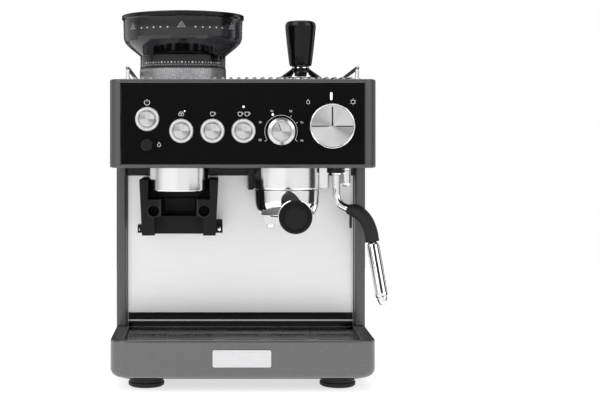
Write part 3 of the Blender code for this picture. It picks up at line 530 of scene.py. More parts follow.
# Its colour is kept dark: painted dark reflection on the drip grid's polished plate.
finish("polished_steel", (0.13, 0.13, 0.132), 0.18, metallic=1.0, spread=0.06, grain=(60, 1500, 1500),
       bump=0.05)
finish("basket_steel", (0.62, 0.62, 0.63), 0.22, metallic=1.0, spread=0.05, bump=0.04)
finish("brushed_steel", (0.62, 0.62, 0.63), 0.28, metallic=1.0, spread=0.08, grain=(25, 2200, 2200),
       bump=0.12)
finish("plate_steel", (0.36, 0.36, 0.37), 0.24, metallic=1.0, spread=0.08, grain=(2200, 20, 2200),
       bump=0.10)
spun("spun_steel", (0.66, 0.66, 0.665), 0.30)
finish("grey_metal", (0.40, 0.40, 0.41), 0.38, metallic=0.9, spread=0.6, grain=1000, bump=0.6, detail=1.0)
# A dark grey of painted shade for the recess in the front of the portafilter.
finish("arch_painted_shade_grey", (0.16, 0.16, 0.165), 0.5, metallic=0.5, spread=0.7, grain=1300, bump=0.5, detail=1.0)
finish("aluminium", (0.58, 0.58, 0.59), 0.42, metallic=1.0, spread=0.10, grain=500, bump=0.25)
finish("burr_steel", (0.42, 0.42, 0.43), 0.30, metallic=1.0, spread=0.10, grain=(1500, 1500, 60),
       bump=0.15)
finish("circuit_board", (0.015, 0.085, 0.035), 0.40, spread=0.35, grain=300, bump=0.1, detail=0.0)
finish("silicone", (0.30, 0.07, 0.04), 0.55, spread=0.10, bump=0.10)
finish("print_white", (0.66, 0.66, 0.66), 0.45, spread=0.05, bump=0.05)
finish("lamp_white", (0.9, 0.9, 0.9), 0.3, spread=0.05, bump=0.0,
       sockets={"Emission Color": WHITE, "Emission Strength": 0.8})
finish("smoked_plastic", (0.15, 0.15, 0.158), 0.03, spread=0.03, bump=0.01, rough_spread=0.02,
       sockets={"Transmission Weight": 1.0, "IOR": 1.45})
finish("smoked_lid", (0.02, 0.02, 0.022), 0.06, spread=0.05, bump=0.01, rough_spread=0.02,
       sockets={"Transmission Weight": 0.6, "IOR": 1.45})
finish("tank_plastic", (0.34, 0.36, 0.38), 0.08, spread=0.04, bump=0.02,
       sockets={"Transmission Weight": 0.95, "IOR": 1.45})


# ------------------------------------------------------------ housing

def upper_housing():
    """The painted hood: a rounded shell, open at the top and bottom, with a window for the front panel."""
    low, high = (-HALF, 0, HOUSING_BOTTOM), (HALF, DEPTH, HOUSING_TOP)
    shell = box(low, high, corner=0.015, steps=14, soften=0.0022, soft_steps=4)
    inner, lip = HALF - WALL, HALF - 0.0065
    cavity = box((-inner, WALL, low[2] + WALL), (inner, DEPTH - WALL, high[2] - 0.006), corner=0.012)
    mouth = box((-lip, 0.0065, low[2] - 0.01), (lip, DEPTH - 0.0065, high[2] + 0.01), corner=0.0085)
    seat = box((-inner, WALL, high[2] - WALL), (inner, DEPTH - WALL, high[2] + 0.01), corner=0.012)
    window = box((-0.1490, -0.01, 0.2785), (0.1490, 0.005, 0.3774))
    shell = flattened(cut(shell, cavity, mouth, seat, window))
    piece("housing_shell", shell, "frame", "housing_paint", middle("upper_housing"),
          stands_for=["upper_housing"], bevel=0.0004)


def bore_at(node_name, radius, sides=48):
    """A rod through the front panel on a control's axis."""
    spot = middle(node_name)
    return rod((spot.x, -0.02, spot.z), (spot.x, 0.02, spot.z), radius, sides=sides)


def front_panel():
    """The black glass, with a round hole behind each control."""
    low, high = machine_box("front_panel")
    holes = [bore_at(name, 0.0146, sides=72) for name in BUTTONS]
    for name, radius in (("grind_dial", 0.0034), ("temperature_dial", 0.0036), ("steam_knob", 0.0048)):
        holes.append(bore_at(name, radius))
    glass = flattened(cut(box(low, high), *holes))
    piece("front_glass", glass, "frame", "panel_gloss", middle("front_panel"), stands_for=["front_panel"],
          bevel=0.0003)


def plain_nodes():
    """Pieces whose CAD shape is right already: they get softened edges and a better finish."""
    looks = {
        "base_pan": "black_plastic", "back_panel": "black_plastic", "grinder_motor": "black_plastic",
        "cradle_switch": "black_plastic", "underside_panel": "black_gloss", "control_board": "circuit_board",
        "steam_valve": "aluminium", "burr_chamber": "aluminium", "group_head": "aluminium",
        "thermoblock": "aluminium", "group_gasket": "silicone", "upper_burr": "burr_steel",
        "lower_burr": "burr_steel", "side_panel_left": "housing_paint", "side_panel_right": "housing_paint",
        "water_tank": "tank_plastic", "pump": "black_plastic",
    }
    for name, look in looks.items():
        refined(name, look, bevel=0.0006)


def top_plate():
    """The cup-warming plate: low ribs run from front to back."""
    plate = refined("top_plate", "plate_steel", bevel=0.0003)
    flat = 0.0002 + HOUSING_TOP - middle("top_plate").z
    for vertex in plate.data.vertices:
        if vertex.co.z > flat + 0.0001:
            vertex.co.z = flat + RIB_SHARE * (vertex.co.z - flat)


def splash_panel():
    low, high = machine_box("splash_panel")
    sheet = box(low, high, corner=0.0005, steps=2, soften=0.0004, soft_steps=2)
    piece("splash_sheet", sheet, "frame", "mirror_steel", (low + high) / 2, stands_for=["splash_panel"])
    front = low.y - 0.0012
    ribs = [box((-0.1478, front, bottom), (0.1478, low.y + 0.0002, top), corner=0.0005, steps=2,
                soften=0.0004) for bottom, top in ((0.0612, 0.0686), (0.0706, 0.0800))]
    piece("splash_ribs", gathered(ribs), "frame", "black_gloss", (0, front, 0.0700))


def cup_rails():
    """A bent bar along each side of the top, with a small collar at each foot."""
    for name in ("cup_rail_left", "cup_rail_right"):
        low, high = machine_box(name)
        x, radius = (low.x + high.x) / 2, (high.x - low.x) / 2
        front, rear = low.y + radius, high.y - radius
        peak = high.z - radius
        bends = [(front, low.z), (front, peak - 0.0042), (front + 0.0004, peak - 0.0020),
                 (front + 0.0022, peak - 0.0003), (front + 0.0060, peak - 0.0002),
                 (rear - 0.0060, peak - 0.0064), (rear - 0.0014, peak - 0.0074), (rear, peak - 0.0098),
                 (rear, low.z)]
        bar = tube(smooth_route([(x, y, z) for y, z in bends], 6), radius * 0.98, resolution=6)
        rings = [moved(lathe([(0.0045, 0.0), (0.0045, 0.0012), (0.0025, 0.0018), (0.0025, 0.0)], 32,
                             closed=True, fillet=0.0003), (x, y, low.z + 0.0001)) for y in (front, rear)]
        piece(name + "_bar", gathered([bar] + rings), "frame", "chrome", (x, (front + rear) / 2, low.z),
              stands_for=[name], sharp=50)


# ------------------------------------------------------------ base

def drip_tray():
    """The tray's front is a rounded box whose lower edge tucks under; its top edge has a fine round."""
    low, high = machine_box("drip_tray")
    front = box(low, (high.x, 0.1145, high.z), corner=0.022, steps=16, soften=0.0026, bottom=(0.0120, 0.0105),
                soft_steps=6, front_only=True)
    rear = box((-0.1485, 0.090, low.z + 0.0002), (0.1485, high.y, 0.0600))
    basin = box((-0.1425, 0.0105, 0.0215), (0.1425, 0.1245, 0.0800), corner=0.006)
    rebate = box((-0.1455, 0.0075, 0.0592), (0.1455, 0.1400, 0.0900), corner=0.008, front_only=True)
    tray = flattened(cut(join(front, rear), basin, rebate))
    piece("tray_shell", tray, "drip_tray", "base_paint", (low + high) / 2, stands_for=["drip_tray"],
          bevel=0.0005, sharp=25)


def drip_grid():
    """A polished plate in four sections, with three rows of slots."""
    low, high = machine_box("drip_grid")
    plate = box(low, high, corner=0.0075, steps=10, front_only=True)
    slots = []
    for column in range(5):
        for row in range(3):
            x, y = -0.116 + column * 0.058, 0.028 + row * 0.038
            slots.append(box((x - 0.0215, y - 0.0020, 0.05), (x + 0.0215, y + 0.0020, 0.07), corner=0.0019))
    seams = [box((x - 0.0004, -0.1, high.z - 0.0005), (x + 0.0004, 0.2, 0.07)) for x in (-0.087, 0.0, 0.087)]
    plate = flattened(cut(plate, *slots, *seams))
    piece("grid_plate", plate, "drip_grid", "polished_steel", (low + high) / 2, stands_for=["drip_grid"],
          bevel=0.0003)


def badge():
    """A blank plate with rounded corners and a raised edge."""
    low, high = machine_box("badge_plate")
    centre, size = (low + high) / 2, high - low
    plate = box((-size.x / 2, -size.z / 2, 0), (size.x / 2, size.z / 2, size.y), corner=0.0022, steps=6,
                soften=0.0003, soft_steps=2)
    dish = box((-size.x / 2 + 0.0008, -size.z / 2 + 0.0008, size.y - 0.00015),
               (size.x / 2 - 0.0008, size.z / 2 - 0.0008, 0.01), corner=0.0016, steps=6)
    piece("badge_blank", flattened(cut(plate, dish)), "drip_tray", "brushed_steel",
          (centre.x, high.y, centre.z), turn=(90, 0, 0), stands_for=["badge_plate"], local=True)


def feet():
    for name in ("foot_front_left", "foot_front_right", "foot_rear_left", "foot_rear_right"):
        low, high = machine_box(name)
        radius, top = (high.x - low.x) / 2, high.z
        profile = [(0, top), (radius - 0.0016, top), (radius - 0.0012, 0.0060), (radius, 0.0052),
                   (radius, 0.0016), (radius - 0.0020, 0.0), (radius - 0.0060, 0.0),
                   (radius - 0.0066, 0.0008), (0, 0.0008)]
        piece(name + "_pad", lathe(profile, 64, fillet=0.0005), "frame", "rubber",
              ((low.x + high.x) / 2, (low.y + high.y) / 2, 0), stands_for=[name], local=True)


def cord_gland():
    low, high = machine_box("cord_gland")
    profile = [(0.0045, 0.0100), (0.0075, 0.0100), (0.0090, 0.0035), (0.0120, 0.0030), (0.0120, 0.0000),
               (0.0045, 0.0000)]
    body = lathe(profile, 48, closed=True, fillet=0.0005)
    grooves = [lathe([(0.0100, z), (0.0100, z + 0.0007), (0.0074, z + 0.0007), (0.0074, z)], 48, closed=True)
               for z in (0.0045, 0.0062, 0.0079)]
    piece("gland_ribbed", cut(body, *grooves), "frame", "rubber",
          ((low.x + high.x) / 2, low.y, (low.z + high.z) / 2), turn=(-90, 0, 0), stands_for=["cord_gland"],
          local=True)


def tank_lid():
    low, high = machine_box("tank_lid")
    lid = box(low, high, corner=0.010, steps=8, soften=0.0009, soft_steps=2)
    grip = box((-0.030, low.y + 0.012, high.z - 0.0012), (0.030, low.y + 0.030, 0.4), corner=0.006)
    hinge = box((-0.088, low.y + 0.0050, high.z - 0.0006), (0.088, low.y + 0.0058, 0.4))
    piece("lid_panel", flattened(cut(lid, grip, hinge)), "tank_lid", "black_plastic", (low + high) / 2,
          stands_for=["tank_lid"], bevel=0.0003)


# ------------------------------------------------------------ controls

def buttons():
    """Each button is a spun cap in a bright bezel."""
    bezels = []
    for name in BUTTONS:
        spot = middle(name)
        profile = [(0, 0.0026), (0.0086, 0.0028), (0.0094, 0.0025), (0.0096, 0.0018), (0.0096, -0.0072),
                   (0, -0.0072)]
        control(name + "_cap", lathe(profile, 72, fillet=0.0004), name, "spun_steel", spot,
                stands_for=[name])
        profile = [(0.0099, -0.0044), (0.0099, 0.0020), (0.0102, 0.0025), (0.0107, 0.0024), (0.0111, 0.0015),
                   (0.0111, -0.0044)]
        control(name + "_collar", lathe(profile, 80, closed=True, fillet=0.0003), "frame", "spun_steel",
                spot)
        profile = [(0.0119, -0.0044), (0.0119, 0.0020), (0.0121, 0.0024), (0.0138, 0.0024), (0.0142, 0.0018),
                   (0.0143, 0.0003), (0.0143, -0.0044)]
        ring = lathe(profile, 80, closed=True, fillet=0.0003)
        bezels.append(moved(ring, (spot.x, 0, spot.z), (90, 0, 0)))
    low, high = machine_box("button_frame")
    plate = box((low.x, 0.0033, low.z), (high.x, 0.0042, high.z))
    bores = [bore_at(name, 0.0102) for name in BUTTONS] + [bore_at("grind_dial", 0.0062)]
    piece("button_bezels", gathered(bezels + [cut(plate, *bores)]), "frame", "chrome",
          middle("button_frame"), stands_for=["button_frame"], sharp=40)


def grind_dial():
    """A small black knob with a milled edge and a flat for its pointer."""
    spot = middle("grind_dial")
    profile = [(0, 0.0100), (0.0064, 0.0100), (0.0072, 0.0090), (0.0078, 0.0006), (0.0028, 0.0006),
               (0.0028, -0.0100), (0, -0.0100)]
    knob = lathe(profile, 72, fillet=0.0005)
    flutes = rods_round(0.0080, 24, 0.0012, 0.0120, 0.0005, top_ring=0.0074, sides=8)
    pointer = box((-0.0004, 0.0012, 0.0096), (0.0004, 0.0080, 0.0120))
    control("grind_knob", cut(knob, pointer, *flutes), "grind_dial", "black_gloss", spot,
            stands_for=["grind_dial"])


def temperature_dial():
    """A spun face in a bright conical skirt, with an engraved pointer."""
    spot = middle("temperature_dial")
    skirt = [(0.0030, 0.0005), (0.0168, 0.0005), (0.0168, 0.0088), (0.0164, 0.0102), (0.0134, 0.0120),
             (0.0128, 0.0126), (0.0118, 0.0126), (0.0116, 0.0112), (0.0030, 0.0112)]
    control("dial_skirt", lathe(skirt, 96, closed=True, fillet=0.0004), "temperature_dial", "brushed_steel",
            spot, stands_for=["temperature_dial"], slot="chrome")
    face = lathe([(0, 0.0124), (0.0112, 0.0124), (0.0115, 0.0120), (0.0115, 0.0100), (0.0028, 0.0100),
                  (0.0028, -0.0100), (0, -0.0100)], 96)
    pointer = moved(box((-0.0005, 0.0005, 0.0118), (0.0005, 0.0102, 0.0140)), turn=(0, 0, POINTER_TURN))
    control("dial_face", cut(face, pointer), "temperature_dial", "spun_steel", spot)
    line = moved(box((-0.0004, 0.0008, 0.0118), (0.0004, 0.0099, 0.0122), corner=0.0002, steps=2),
                 turn=(0, 0, POINTER_TURN))
    control("dial_line", line, "temperature_dial", "black_satin", spot, slot="black_gloss")


def steam_knob():
    """A broad spun face in a bright rim. Its upper half lies lower, with a slot from the middle upwards."""
    spot = middle("steam_knob")
    rim = [(0.0040, 0.0006), (0.0280, 0.0006), (0.0289, 0.0016), (0.0290, 0.0030), (0.0276, 0.0150),
           (0.0268, 0.0168), (0.0262, 0.0172), (0.0254, 0.0168), (0.0252, 0.0150), (0.0040, 0.0150)]
    control("knob_rim", lathe(rim, 120, closed=True, fillet=0.0005), "steam_knob", "chrome", spot,
            stands_for=["steam_knob"])
    face = lathe([(0, 0.0171), (0.0244, 0.0171), (0.0251, 0.0166), (0.0251, 0.0120), (0.0038, 0.0120),
                  (0.0038, -0.0145), (0, -0.0145)], 120)
    upper = box((-0.030, 0.0, 0.0163), (0.030, 0.030, 0.0200))
    slot = box((-0.0011, -0.0006, 0.0140), (0.0011, 0.0236, 0.0200))
    step = box((-0.0248, -0.0008, 0.0150), (0.0248, 0.0004, 0.0200))
    control("knob_face", flattened(cut(face, upper, slot, step)), "steam_knob", "spun_steel", spot,
            bevel=0.00015)
    # A black strip along the floor of the slot: painted shade for the dark inside of the slot.
    line = box((-0.0009, 0.0004, 0.0141), (0.0009, 0.0232, 0.0152), corner=0.0002, steps=2)
    control("knob_slot_painted_shade", line, "steam_knob", "black_satin", spot, slot="black_gloss")


def on_panel(shapes):
    """Marks drawn in X and Z about a point, laid on the glass as a thin print."""
    return [moved(mesh, (x, PANEL_FACE, z), (90, 0, 0)) for mesh, x, z in shapes]


def ring_mark(radius, width, start=0, end=360, squash=1.0):
    """A ring or an arc in X and Z, from start to end in degrees clockwise from the top."""
    shape = bmesh.new()
    steps = max(6, int(abs(end - start) / 7.5))
    rows = []
    for step in range(steps + 1):
        angle = math.radians(start + (end - start) * step / steps)
        x, y = math.sin(angle), math.cos(angle) * squash
        rows.append([shape.verts.new((x * r, y * r, z)) for r, z in (
            (radius - width / 2, 0), (radius + width / 2, 0), (radius + width / 2, PRINT),
            (radius - width / 2, PRINT))])
    for near, far in zip(rows, rows[1:]):
        for i in range(4):
            j = (i + 1) % 4
            shape.faces.new((near[i], near[j], far[j], far[i]))
    if abs(end - start) < 360:
        shape.faces.new(rows[0])
        shape.faces.new(rows[-1])
    else:
        bmesh.ops.remove_doubles(shape, verts=shape.verts, dist=1e-7)
    return mesh_from(shape)


def bar_mark(start, end, width):
    """A short printed line between two points."""
    start, end = Vector(start).to_3d(), Vector(end).to_3d()
    length = (end - start).length
    mesh = box((-width / 2, 0, 0), (width / 2, length, PRINT), corner=width * 0.3, steps=2)
    return moved(mesh, start, (0, 0, math.degrees(math.atan2(-(end - start).x, (end - start).y))))


def dot_mark(radius):
    return rod((0, 0, 0), (0, 0, PRINT), radius, sides=24)


def number_mark(value, height):
    """A plain number, centred on its point."""
    words = bpy.data.curves.new("number", "FONT")
    words.body = str(value)
    words.size = height * 1.4
    words.align_x = "CENTER"
    words.align_y = "CENTER"
    words.extrude = PRINT / 2
    return moved(from_curve(words), (0, 0, PRINT / 2))


def cup_mark():
    """A cup seen from the side: a deep bowl with a flat rim and a handle."""
    half, rim, line = 0.0024, 0.0021, 0.0006
    return [ring_mark(half, line, 90, 270, squash=1.1), bar_mark((-half, 0), (-half, rim), line),
            bar_mark((half, 0), (half, rim), line),
            bar_mark((-half - 0.0003, rim), (half + 0.0003, rim), line),
            moved(ring_mark(0.0012, 0.0005, 0, 180), (half + 0.0003, 0.0004, 0))]


def drop_mark(size):
    """A drop: a round belly under a point."""
    point = (0, 1.9 * size)
    return [ring_mark(size, 0.0006, 55, 305), bar_mark((0.82 * size, 0.57 * size), point, 0.0006),
            bar_mark((-0.82 * size, 0.57 * size), point, 0.0006)]


def clock(angle, radius, up_radius=None):
    """A point in X and Z at an angle in degrees, clockwise from the top."""
    turn = math.radians(angle)
    return radius * math.sin(turn), (up_radius or radius) * math.cos(turn)


def panel_marks():
    """Plain signs printed in white beside the controls."""
    power, grind = middle("power_button"), middle("grind_button")
    single, double = middle("single_cup_button"), middle("double_cup_button")
    knob, dial, small = middle("steam_knob"), middle("temperature_dial"), middle("grind_dial")
    marks = [(ring_mark(0.0032, 0.0007, 35, 325), power.x, power.z + 0.0200),
             (bar_mark((0, 0.0006), (0, 0.0040), 0.0007), power.x, power.z + 0.0200)]
    for offset in (-0.0014, 0.0014):
        marks.append((moved(ring_mark(0.0017, 0.0006), (offset, -0.0006, 0)), grind.x, grind.z + 0.0205))
    marks.append((moved(ring_mark(0.0030, 0.0006, -70, 70), (0, -0.0004, 0)), grind.x, grind.z + 0.0205))
    for x in (single.x, double.x - 0.0042, double.x + 0.0042):
        marks += [(mesh, x, single.z + 0.0206) for mesh in cup_mark()]
    marks += [(mesh, small.x + 0.0146, small.z - 0.0004) for mesh in drop_mark(0.0019)]
    marks += [(mesh, knob.x - 0.0280, knob.z + 0.0288) for mesh in drop_mark(0.0019)]
    marks += [(ring_mark(0.0022, 0.0006), knob.x + 0.0264, knob.z + 0.0294)]
    for angle in range(0, 360, 60):
        ray = bar_mark(clock(angle, 0.0027), clock(angle, 0.0040), 0.0005)
        marks.append((ray, knob.x + 0.0264, knob.z + 0.0294))
    scale = 0.0197
    marks.append((ring_mark(scale, 0.0005, -121, 121), dial.x, dial.z))
    for angle in (-121, 33, 61, 121):
        marks.append((bar_mark(clock(angle, scale), clock(angle, 0.0232), 0.0005), dial.x, dial.z))
    for angle, value in zip((-113, -66, -24, 25, 66, 115), (88, 90, 92, 94, 96, 98)):
        across, up = clock(angle, 0.0276, 0.0268)
        marks.append((number_mark(value, 0.0026), dial.x + across, dial.z + up))
    piece("panel_marks", gathered(on_panel(marks)), "frame", "print_white", (0, PANEL_FACE, 0.32),
          slot=None)
    lamps = [(bar_mark((0, 0), (0, 0.0092), 0.0026), knob.x, knob.z + 0.0316),
             (dot_mark(0.0009), grind.x + 0.0042, grind.z + 0.0240),
             (dot_mark(0.0013), double.x, double.z + 0.0292),
             (dot_mark(0.0014), dial.x - 0.0100, dial.z + 0.0205)]
    piece("panel_lamps", gathered(on_panel(lamps)), "frame", "lamp_white", (0, PANEL_FACE, 0.34),
          slot=None)


# ------------------------------------------------------------ hopper and grinder

def hopper():
    profile = [
        (0.0798, 0.4675), (0.0798, 0.4650), (0.0782, 0.4632), (0.0778, 0.4500), (0.0776, 0.4395),
        (0.0760, 0.4350), (0.0735, 0.4315), (0.0700, 0.4280), (0.0558, 0.4165), (0.0558, 0.4003),
        (0.0536, 0.4003), (0.0536, 0.4128), (0.0330, 0.4062), (0.0330, 0.4090), (0.0540, 0.4163),
        (0.0690, 0.4300), (0.0735, 0.4350), (0.0755, 0.4403), (0.0758, 0.4675),
    ]
    body = lathe(profile, 128, closed=True, fillet=0.0012)
    upright("hopper_bowl", body, "hopper", "smoked_plastic", HOPPER, stands_for=["hopper_body"])
    rim = lathe([(0.0800, 0.4676), (0.0800, 0.4646), (0.0790, 0.4638), (0.0785, 0.4638), (0.0792, 0.4650),
                 (0.0792, 0.4676)], 128, closed=True)
    foot = lathe([(0.0561, 0.4018), (0.0561, 0.4004), (0.0552, 0.4004), (0.0552, 0.4018)], 96, closed=True)
    upright("hopper_trim", gathered([rim, foot]), "hopper", "black_gloss", HOPPER)
    hopper_marks()
    upright("hopper_guard", toothed_ring(), "hopper", "black_plastic", HOPPER, bevel=0.0003)
    lid = [(0, 0.4762), (0.0300, 0.4745), (0.0500, 0.4729), (0.0680, 0.4711), (0.0780, 0.4699),
           (0.0800, 0.4690), (0.0800, 0.4679), (0.0752, 0.4679), (0.0752, 0.4640), (0.0732, 0.4640),
           (0.0732, 0.4680), (0.0400, 0.4712), (0, 0.4724)]
    upright("lid_dome", lathe(lid, 128, fillet=0.0008), "hopper_lid", "smoked_lid", HOPPER,
            stands_for=["hopper_lid"], slot="smoked_plastic")
    seal = lathe([(0.0757, 0.4668), (0.0757, 0.4650), (0.0750, 0.4646), (0.0750, 0.4672)], 96, closed=True,
                 fillet=0.0003)
    upright("lid_seal", seal, "hopper_lid", "rubber", HOPPER)


def round_the_front(radius, angle, height, mesh):
    """A small flat shape laid on a wall of that radius; the angle is from the front, to the right."""
    turn = math.radians(angle)
    place = (radius * math.sin(turn), -radius * math.cos(turn), height)
    return moved(moved(mesh, turn=(90, 0, angle)), place)


def hopper_marks():
    """Dots in a row with a few small pyramids of dots, and the tick marks of the neck."""
    wall, row, marks = 0.0779, 0.4495, []
    for middle_angle in (-54, 0, 54):
        for level, count in enumerate((4, 3, 2, 1)):
            for index in range(count):
                angle = middle_angle + (index - (count - 1) / 2) * 2.2
                marks.append(round_the_front(wall, angle, row + level * 0.0022, dot_mark(0.0006)))
    for middle_angle in (-27, 27):
        for index in range(5):
            marks.append(round_the_front(wall, middle_angle + (index - 2) * 7.0, row, dot_mark(0.0010)))
    for index in range(-13, 14):
        size = 0.0008 if index % 3 else 0.0012
        marks.append(round_the_front(0.0559, index * 4.6, 0.4066, dot_mark(size)))
    for index in range(-22, 23):
        marks.append(round_the_front(0.0559, index * 2.8, 0.4036, box(
            (-0.0003, -0.0007, 0), (0.0003, 0.0007, PRINT))))
    upright("hopper_dots", gathered(marks), "hopper", "print_white", HOPPER, slot=None)


def toothed_ring():
    """The guard that stands round the gate on the funnel, notched along its top."""
    ring = lathe([(0.0392, 0.4325), (0.0392, 0.4120), (0.0362, 0.4110), (0.0362, 0.4325)], 96, closed=True)
    notches = [moved(box((0.030, -0.0028, 0.4240), (0.045, 0.0028, 0.4400)), turn=(0, 0, 360 * index / 20))
               for index in range(20)]
    return flattened(cut(ring, *notches))


def hopper_gate():
    """The turning gate under the beans: a holed disc, a post, and a cross bar to turn it by."""
    disc = lathe([(0, 0.4124), (0.0345, 0.4124), (0.0350, 0.4120), (0.0350, 0.4106), (0, 0.4104)], 72)
    holes = rods_round(0.020, 3, 0.40, 0.42, 0.0100, start=math.pi / 2)
    post = lathe([(0, 0.4420), (0.0055, 0.4420), (0.0060, 0.4110), (0, 0.4110)], 40)
    bar = box((-0.0175, -0.0045, 0.4368), (0.0175, 0.0045, 0.4434), corner=0.0040, steps=6, soften=0.0010)
    upright("gate_wheel", flattened(cut(join(disc, post, bar), *holes)), "hopper_gate", "lever_grey",
            HOPPER, stands_for=["hopper_gate"], bevel=0.0003, slot="black_plastic")


def grinder():
    low, high = machine_box("hopper_seat_ring")
    ring = lathe([(0.0556, high.z), (0.0565, 0.3988), (0.0565, 0.3836), (0.0560, low.z), (0.0508, low.z),
                  (0.0508, high.z)], 128, closed=True, fillet=0.0005)
    seam = box((-0.0005, -0.0600, 0.38), (0.0005, -0.0556, 0.41))
    upright("seat_ring", cut(ring, seam), "frame", "grey_metal", HOPPER, stands_for=["hopper_seat_ring"])
    low, high = machine_box("grinder_collar")
    profile = [(0.0363, high.z), (0.0372, 0.2765), (0.0373, 0.2700), (0.0372, 0.2460), (0.0366, low.z),
               (0.0352, low.z), (0.0348, 0.2460), (0.0348, 0.2740), (0.0125, 0.2740), (0.0125, high.z)]
    upright("collar_outlet", lathe(profile, 128, closed=True, fillet=0.0005), "frame", "collar_steel",
            GRINDER, stands_for=["grinder_collar"], slot="chrome")


def cradle():
    """The black fork under the grinder, with its moulded ribs, round pockets and two small screws."""
    x, y = GRINDER
    round_collar = rod((x, y, 0.2432), (x, y, 0.30), 0.0386, sides=96)
    refined("portafilter_cradle", "black_plastic", bevel=0.0009, sharp=28, cutters=[round_collar])
    front = 0.0299
    trims = []
    for side in (-1, 1):
        pocket = lathe([(0.0080, 0.0), (0.0080, 0.0009), (0.0072, 0.0012), (0.0070, 0.0), (0.0070, -0.02)],
                       48, closed=True)
        trims.append(moved(pocket, (x + side * 0.0312, front + 0.0004, 0.2200), (90, 0, 0)))
        trims.append(box((x + side * 0.0232 - 0.0008, front - 0.0004, 0.2140),
                         (x + side * 0.0232 + 0.0008, 0.0500, 0.2335), corner=0.0004, steps=2))
    piece("cradle_trim", gathered(trims), "frame", "black_satin", (x, front, 0.22), slot="black_plastic")
    heads = [moved(cut(lathe([(0, 0.0014), (0.0022, 0.0010), (0.0026, 0), (0, 0)], 32),
                       box((-0.003, -0.0003, 0.0008), (0.003, 0.0003, 0.003))),
                   (x + offset, 0.0642, 0.1951), (90, 0, 25)) for offset in (-0.0490, 0.0500)]
    piece("cradle_screws", gathered(heads), "frame", "chrome", (x, 0.064, 0.195))


# ------------------------------------------------------------ brew group

def brew_group():
    low, high = machine_box("group_collar")
    top, bottom = high.z, low.z
    collar = lathe([(0, top), (0.0404, top), (0.0413, top - 0.0008), (0.0415, top - 0.0020),
                    (0.0415, bottom + 0.0016), (0.0411, bottom + 0.0005), (0.0404, bottom), (0, bottom)], 128)
    cover = moved(box((0.020, 0.003, bottom + 0.0004), (0.0538, 0.0420, top - 0.0003), corner=0.006))
    bore = rod((0, 0, 0.2503), (0, 0, 0.30), 0.0398, sides=96)
    lip = rod((0, 0, 0.24), (0, 0, 0.26), 0.0358, sides=96)
    slot = moved(box((-0.0390, -0.0110, 0.2400), (0.0390, 0.0110, 0.2600)), turn=(0, 0, -45))
    groove = lathe([(0.0430, bottom + 0.0040), (0.0430, bottom + 0.0045), (0.0413, bottom + 0.0045),
                    (0.0413, bottom + 0.0040)], 128, closed=True)
    collar = flattened(cut(join(collar, cover), bore, lip, slot, groove))
    upright("group_ring", collar, "frame", "collar_steel", GROUP, stands_for=["group_collar"], bevel=0.0003,
            slot="chrome")
    screen = lathe([(0, 0.2603), (0.0285, 0.2606), (0.0285, 0.2582), (0.0278, 0.2576), (0, 0.2575)], 96)
    holes = [hole for ring, count in ((0.008, 8), (0.015, 14), (0.022, 20))
             for hole in rods_round(ring, count, 0.25, 0.27, 0.0009, sides=8)]
    upright("screen_disc", cut(screen, *holes), "frame", "basket_steel", GROUP,
            stands_for=["shower_screen"], slot="polished_steel")


BODY_PROFILE = [(0.0352, 0.2458), (0.0405, 0.2456), (0.0407, 0.2440), (0.0404, 0.2380), (0.0400, 0.2300),
                (0.0394, 0.2262), (0.0385, 0.2225), (0.0374, 0.2192), (0.0360, 0.2165), (0.0341, 0.2142),
                (0.0318, 0.2128)]


def body_radius(height):
    """The portafilter's outer radius at a height."""
    for (upper, top), (lower, bottom) in zip(BODY_PROFILE[1:], BODY_PROFILE[2:]):
        if bottom <= height <= top:
            return lower + (upper - lower) * (height - bottom) / (top - bottom)
    return BODY_PROFILE[-1][0]


def on_body(across, height, proud):
    """A point on the front of the portafilter's wall, so far proud of it."""
    radius = body_radius(height) + proud
    return Vector((across, -math.sqrt(max(0.0, radius * radius - across * across)), height))


def arch_panel():
    """The grey arch of painted shade let into the portafilter's front, and the bright edge round it."""
    base, half, rise, columns, rows = 0.2150, 0.0332, 0.0122, 40, 8
    shape = bmesh.new()
    grid = []
    for column in range(columns + 1):
        across = -half * math.cos(math.pi * column / columns)
        height = rise * math.sqrt(max(0.0, 1 - (across / half) ** 2))
        grid.append([shape.verts.new(on_body(across, base + height * row / rows, 0.0002))
                     for row in range(rows + 1)])
    for near, far in zip(grid, grid[1:]):
        for row in range(rows):
            shape.faces.new((near[row], far[row], far[row + 1], near[row + 1]))
    bmesh.ops.remove_doubles(shape, verts=shape.verts, dist=1e-6)
    bmesh.ops.dissolve_degenerate(shape, edges=shape.edges, dist=1e-6)
    panel = mesh_from(shape)
    edge = [on_body(-half * math.cos(t), base + rise * math.sin(t), 0.0002)
            for t in (math.pi * i / 48 for i in range(49))]
    foot = [on_body(half * (1 - i / 14) - half * i / 14, base, 0.0002) for i in range(1, 14)]
    return panel, tube(edge + foot, 0.00055, resolution=4, cyclic=True)


